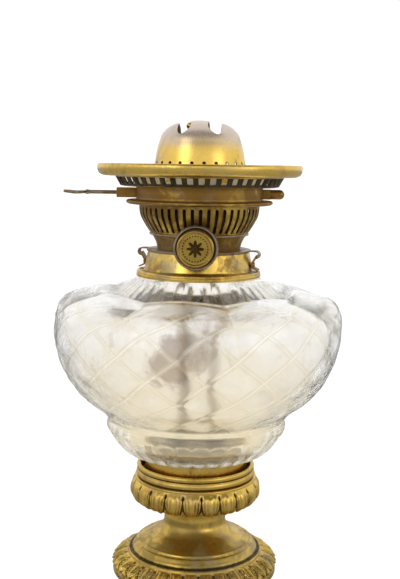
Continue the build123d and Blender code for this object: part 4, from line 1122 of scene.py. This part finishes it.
class OBJECT_OT_lamp_stage(LampOperator, Operator):
    """White floor and surround for the camera, the room that the lamp reflects, two lights and the camera"""
    bl_idname = "object.lamp_stage"
    bl_label = "Stage"

    def execute(self, context):
        scene = context.scene
        floor = bpy.data.meshes.new("floor")
        reach = 6.0
        corners = [(-reach, -reach, 0), (reach, -reach, 0), (reach, reach, 0), (-reach, reach, 0)]
        floor.from_pydata(corners, [], [(0, 1, 2, 3)])
        net = Net("pale_floor")
        seen = self.seen(net)
        glow = net.node("ShaderNodeEmission", None, {"Color": (1.0, 1.0, 1.0), "Strength": 1.1})
        matt = net.node("ShaderNodeBsdfDiffuse", None, {"Color": (0.62, 0.62, 0.62)})
        net.node_output(net.node("ShaderNodeMixShader", None, {0: seen, 1: matt, 2: glow}))
        floor.materials.append(net.material)
        plane = bpy.data.objects.new("floor", floor)
        scene.collection.objects.link(plane)
        self.world(scene)
        for name, place, across, power in (("key", (-0.9, -1.1, 0.75), 0.7, 2.6),
                                           ("fill", (1.0, -0.8, 0.4), 0.6, 1.2)):
            data = bpy.data.lights.new(name, "AREA")
            data.size, data.energy = across, power
            lamp = bpy.data.objects.new(name, data)
            lamp.location = place
            lamp.rotation_mode = "QUATERNION"
            lamp.rotation_quaternion = (Vector(place) - Vector((0, 0, 0.13))).to_track_quat("Z", "Y")
            scene.collection.objects.link(lamp)
        self.camera(scene)
        scene.view_settings.view_transform = "Standard"
        return {"FINISHED"}

    def seen(self, net):
        """1 for light that reaches the camera straight or through glass, 0 for reflected and scattered
        light."""
        straight = net.node("ShaderNodeLightPath", output="Is Camera Ray")
        return (straight + net.node("ShaderNodeLightPath", output="Transmission Depth")).clamped()

    def world(self, scene):
        """White all round for the camera. What the lamp reflects is white behind it, and in front a broad
        soft light, a dark ceiling, and a dark patch where the camera stands."""
        net = Net("studio", bpy.data.worlds)
        x, y, z = net.axes()
        behind = y.step(-0.3, 0.25)
        above = z.step(0.42, 0.68)
        front = (z.step(-0.05, 0.22) * 0.75 + 0.3) * (1.0 - above) + 0.06
        patch = (1.0 - (x * x).step(0.004, 0.02)) * (1.0 - (z * z).step(0.01, 0.03)) * 0.7
        level = behind + (1.0 - behind) * front * (1.0 - patch)
        tone = net.node("ShaderNodeCombineColor", None, {0: level, 1: level, 2: level})
        room = net.node("ShaderNodeBackground", None, {"Color": tone, "Strength": 1.0})
        white = net.node("ShaderNodeBackground", None, {"Color": (1.0, 1.0, 1.0), "Strength": 1.1})
        net.node_output(net.node("ShaderNodeMixShader", None, {0: self.seen(net), 1: room, 2: white}),
                        "ShaderNodeOutputWorld")
        scene.world = net.material

    def camera(self, scene):
        """Camera slightly above the font, turned a little past the winder, with a slight roll."""
        distance, height, turn = 0.509, 0.218, math.radians(2.5)
        pitch, aim, roll = math.radians(-7.31), math.radians(-0.11), math.radians(0.87)
        data = bpy.data.cameras.new("camera")
        data.sensor_width, data.lens = 36.0, 60.3
        data.clip_start, data.clip_end = 0.01, 50.0
        camera = bpy.data.objects.new("camera", data)
        camera.rotation_mode = "QUATERNION"
        camera.location = (distance * math.sin(turn), -distance * math.cos(turn), height)
        facing = (Matrix.Rotation(turn + aim, 4, "Z") @ Matrix.Rotation(math.pi / 2 + pitch, 4, "X")
                  @ Matrix.Rotation(roll, 4, "Z"))
        camera.rotation_quaternion = facing.to_quaternion()
        scene.collection.objects.link(camera)
        scene.camera = camera


class VIEW3D_PT_oil_lamp(Panel):
    """Sidebar panel with the lamp's settings and pieces"""
    bl_label = "Oil Lamp"
    bl_space_type = "VIEW_3D"
    bl_region_type = "UI"
    bl_category = "Oil Lamp"

    def draw(self, context):
        for group in (context.scene.lamp_sizes, context.scene.lamp_colours):
            for name in group.bl_rna.properties.keys():
                if name not in ("rna_type", "name"):
                    self.layout.prop(group, name)
        for operator in OPERATORS:
            self.layout.operator(operator.bl_idname)


OPERATORS = (OBJECT_OT_lamp_foot, OBJECT_OT_lamp_knop, OBJECT_OT_lamp_glass, OBJECT_OT_lamp_collar,
             OBJECT_OT_lamp_burner, OBJECT_OT_lamp_gallery, OBJECT_OT_lamp_dome, OBJECT_OT_lamp_winders,
             OBJECT_OT_lamp_handle, OBJECT_OT_lamp_wicks, OBJECT_OT_lamp_fittings, OBJECT_OT_lamp_stage)
CLASSES = (LampSizes, LampColours, *OPERATORS, VIEW3D_PT_oil_lamp)


def register():
    for item in CLASSES:
        bpy.utils.register_class(item)
    bpy.types.Scene.lamp_sizes = PointerProperty(type=LampSizes)
    bpy.types.Scene.lamp_colours = PointerProperty(type=LampColours)


def unregister():
    del bpy.types.Scene.lamp_colours
    del bpy.types.Scene.lamp_sizes
    for item in reversed(CLASSES):
        bpy.utils.unregister_class(item)


def main():
    register()
    for operator in OPERATORS:
        group, name = operator.bl_idname.split(".")
        getattr(getattr(bpy.ops, group), name)()


if __name__ == "__main__":
    main()
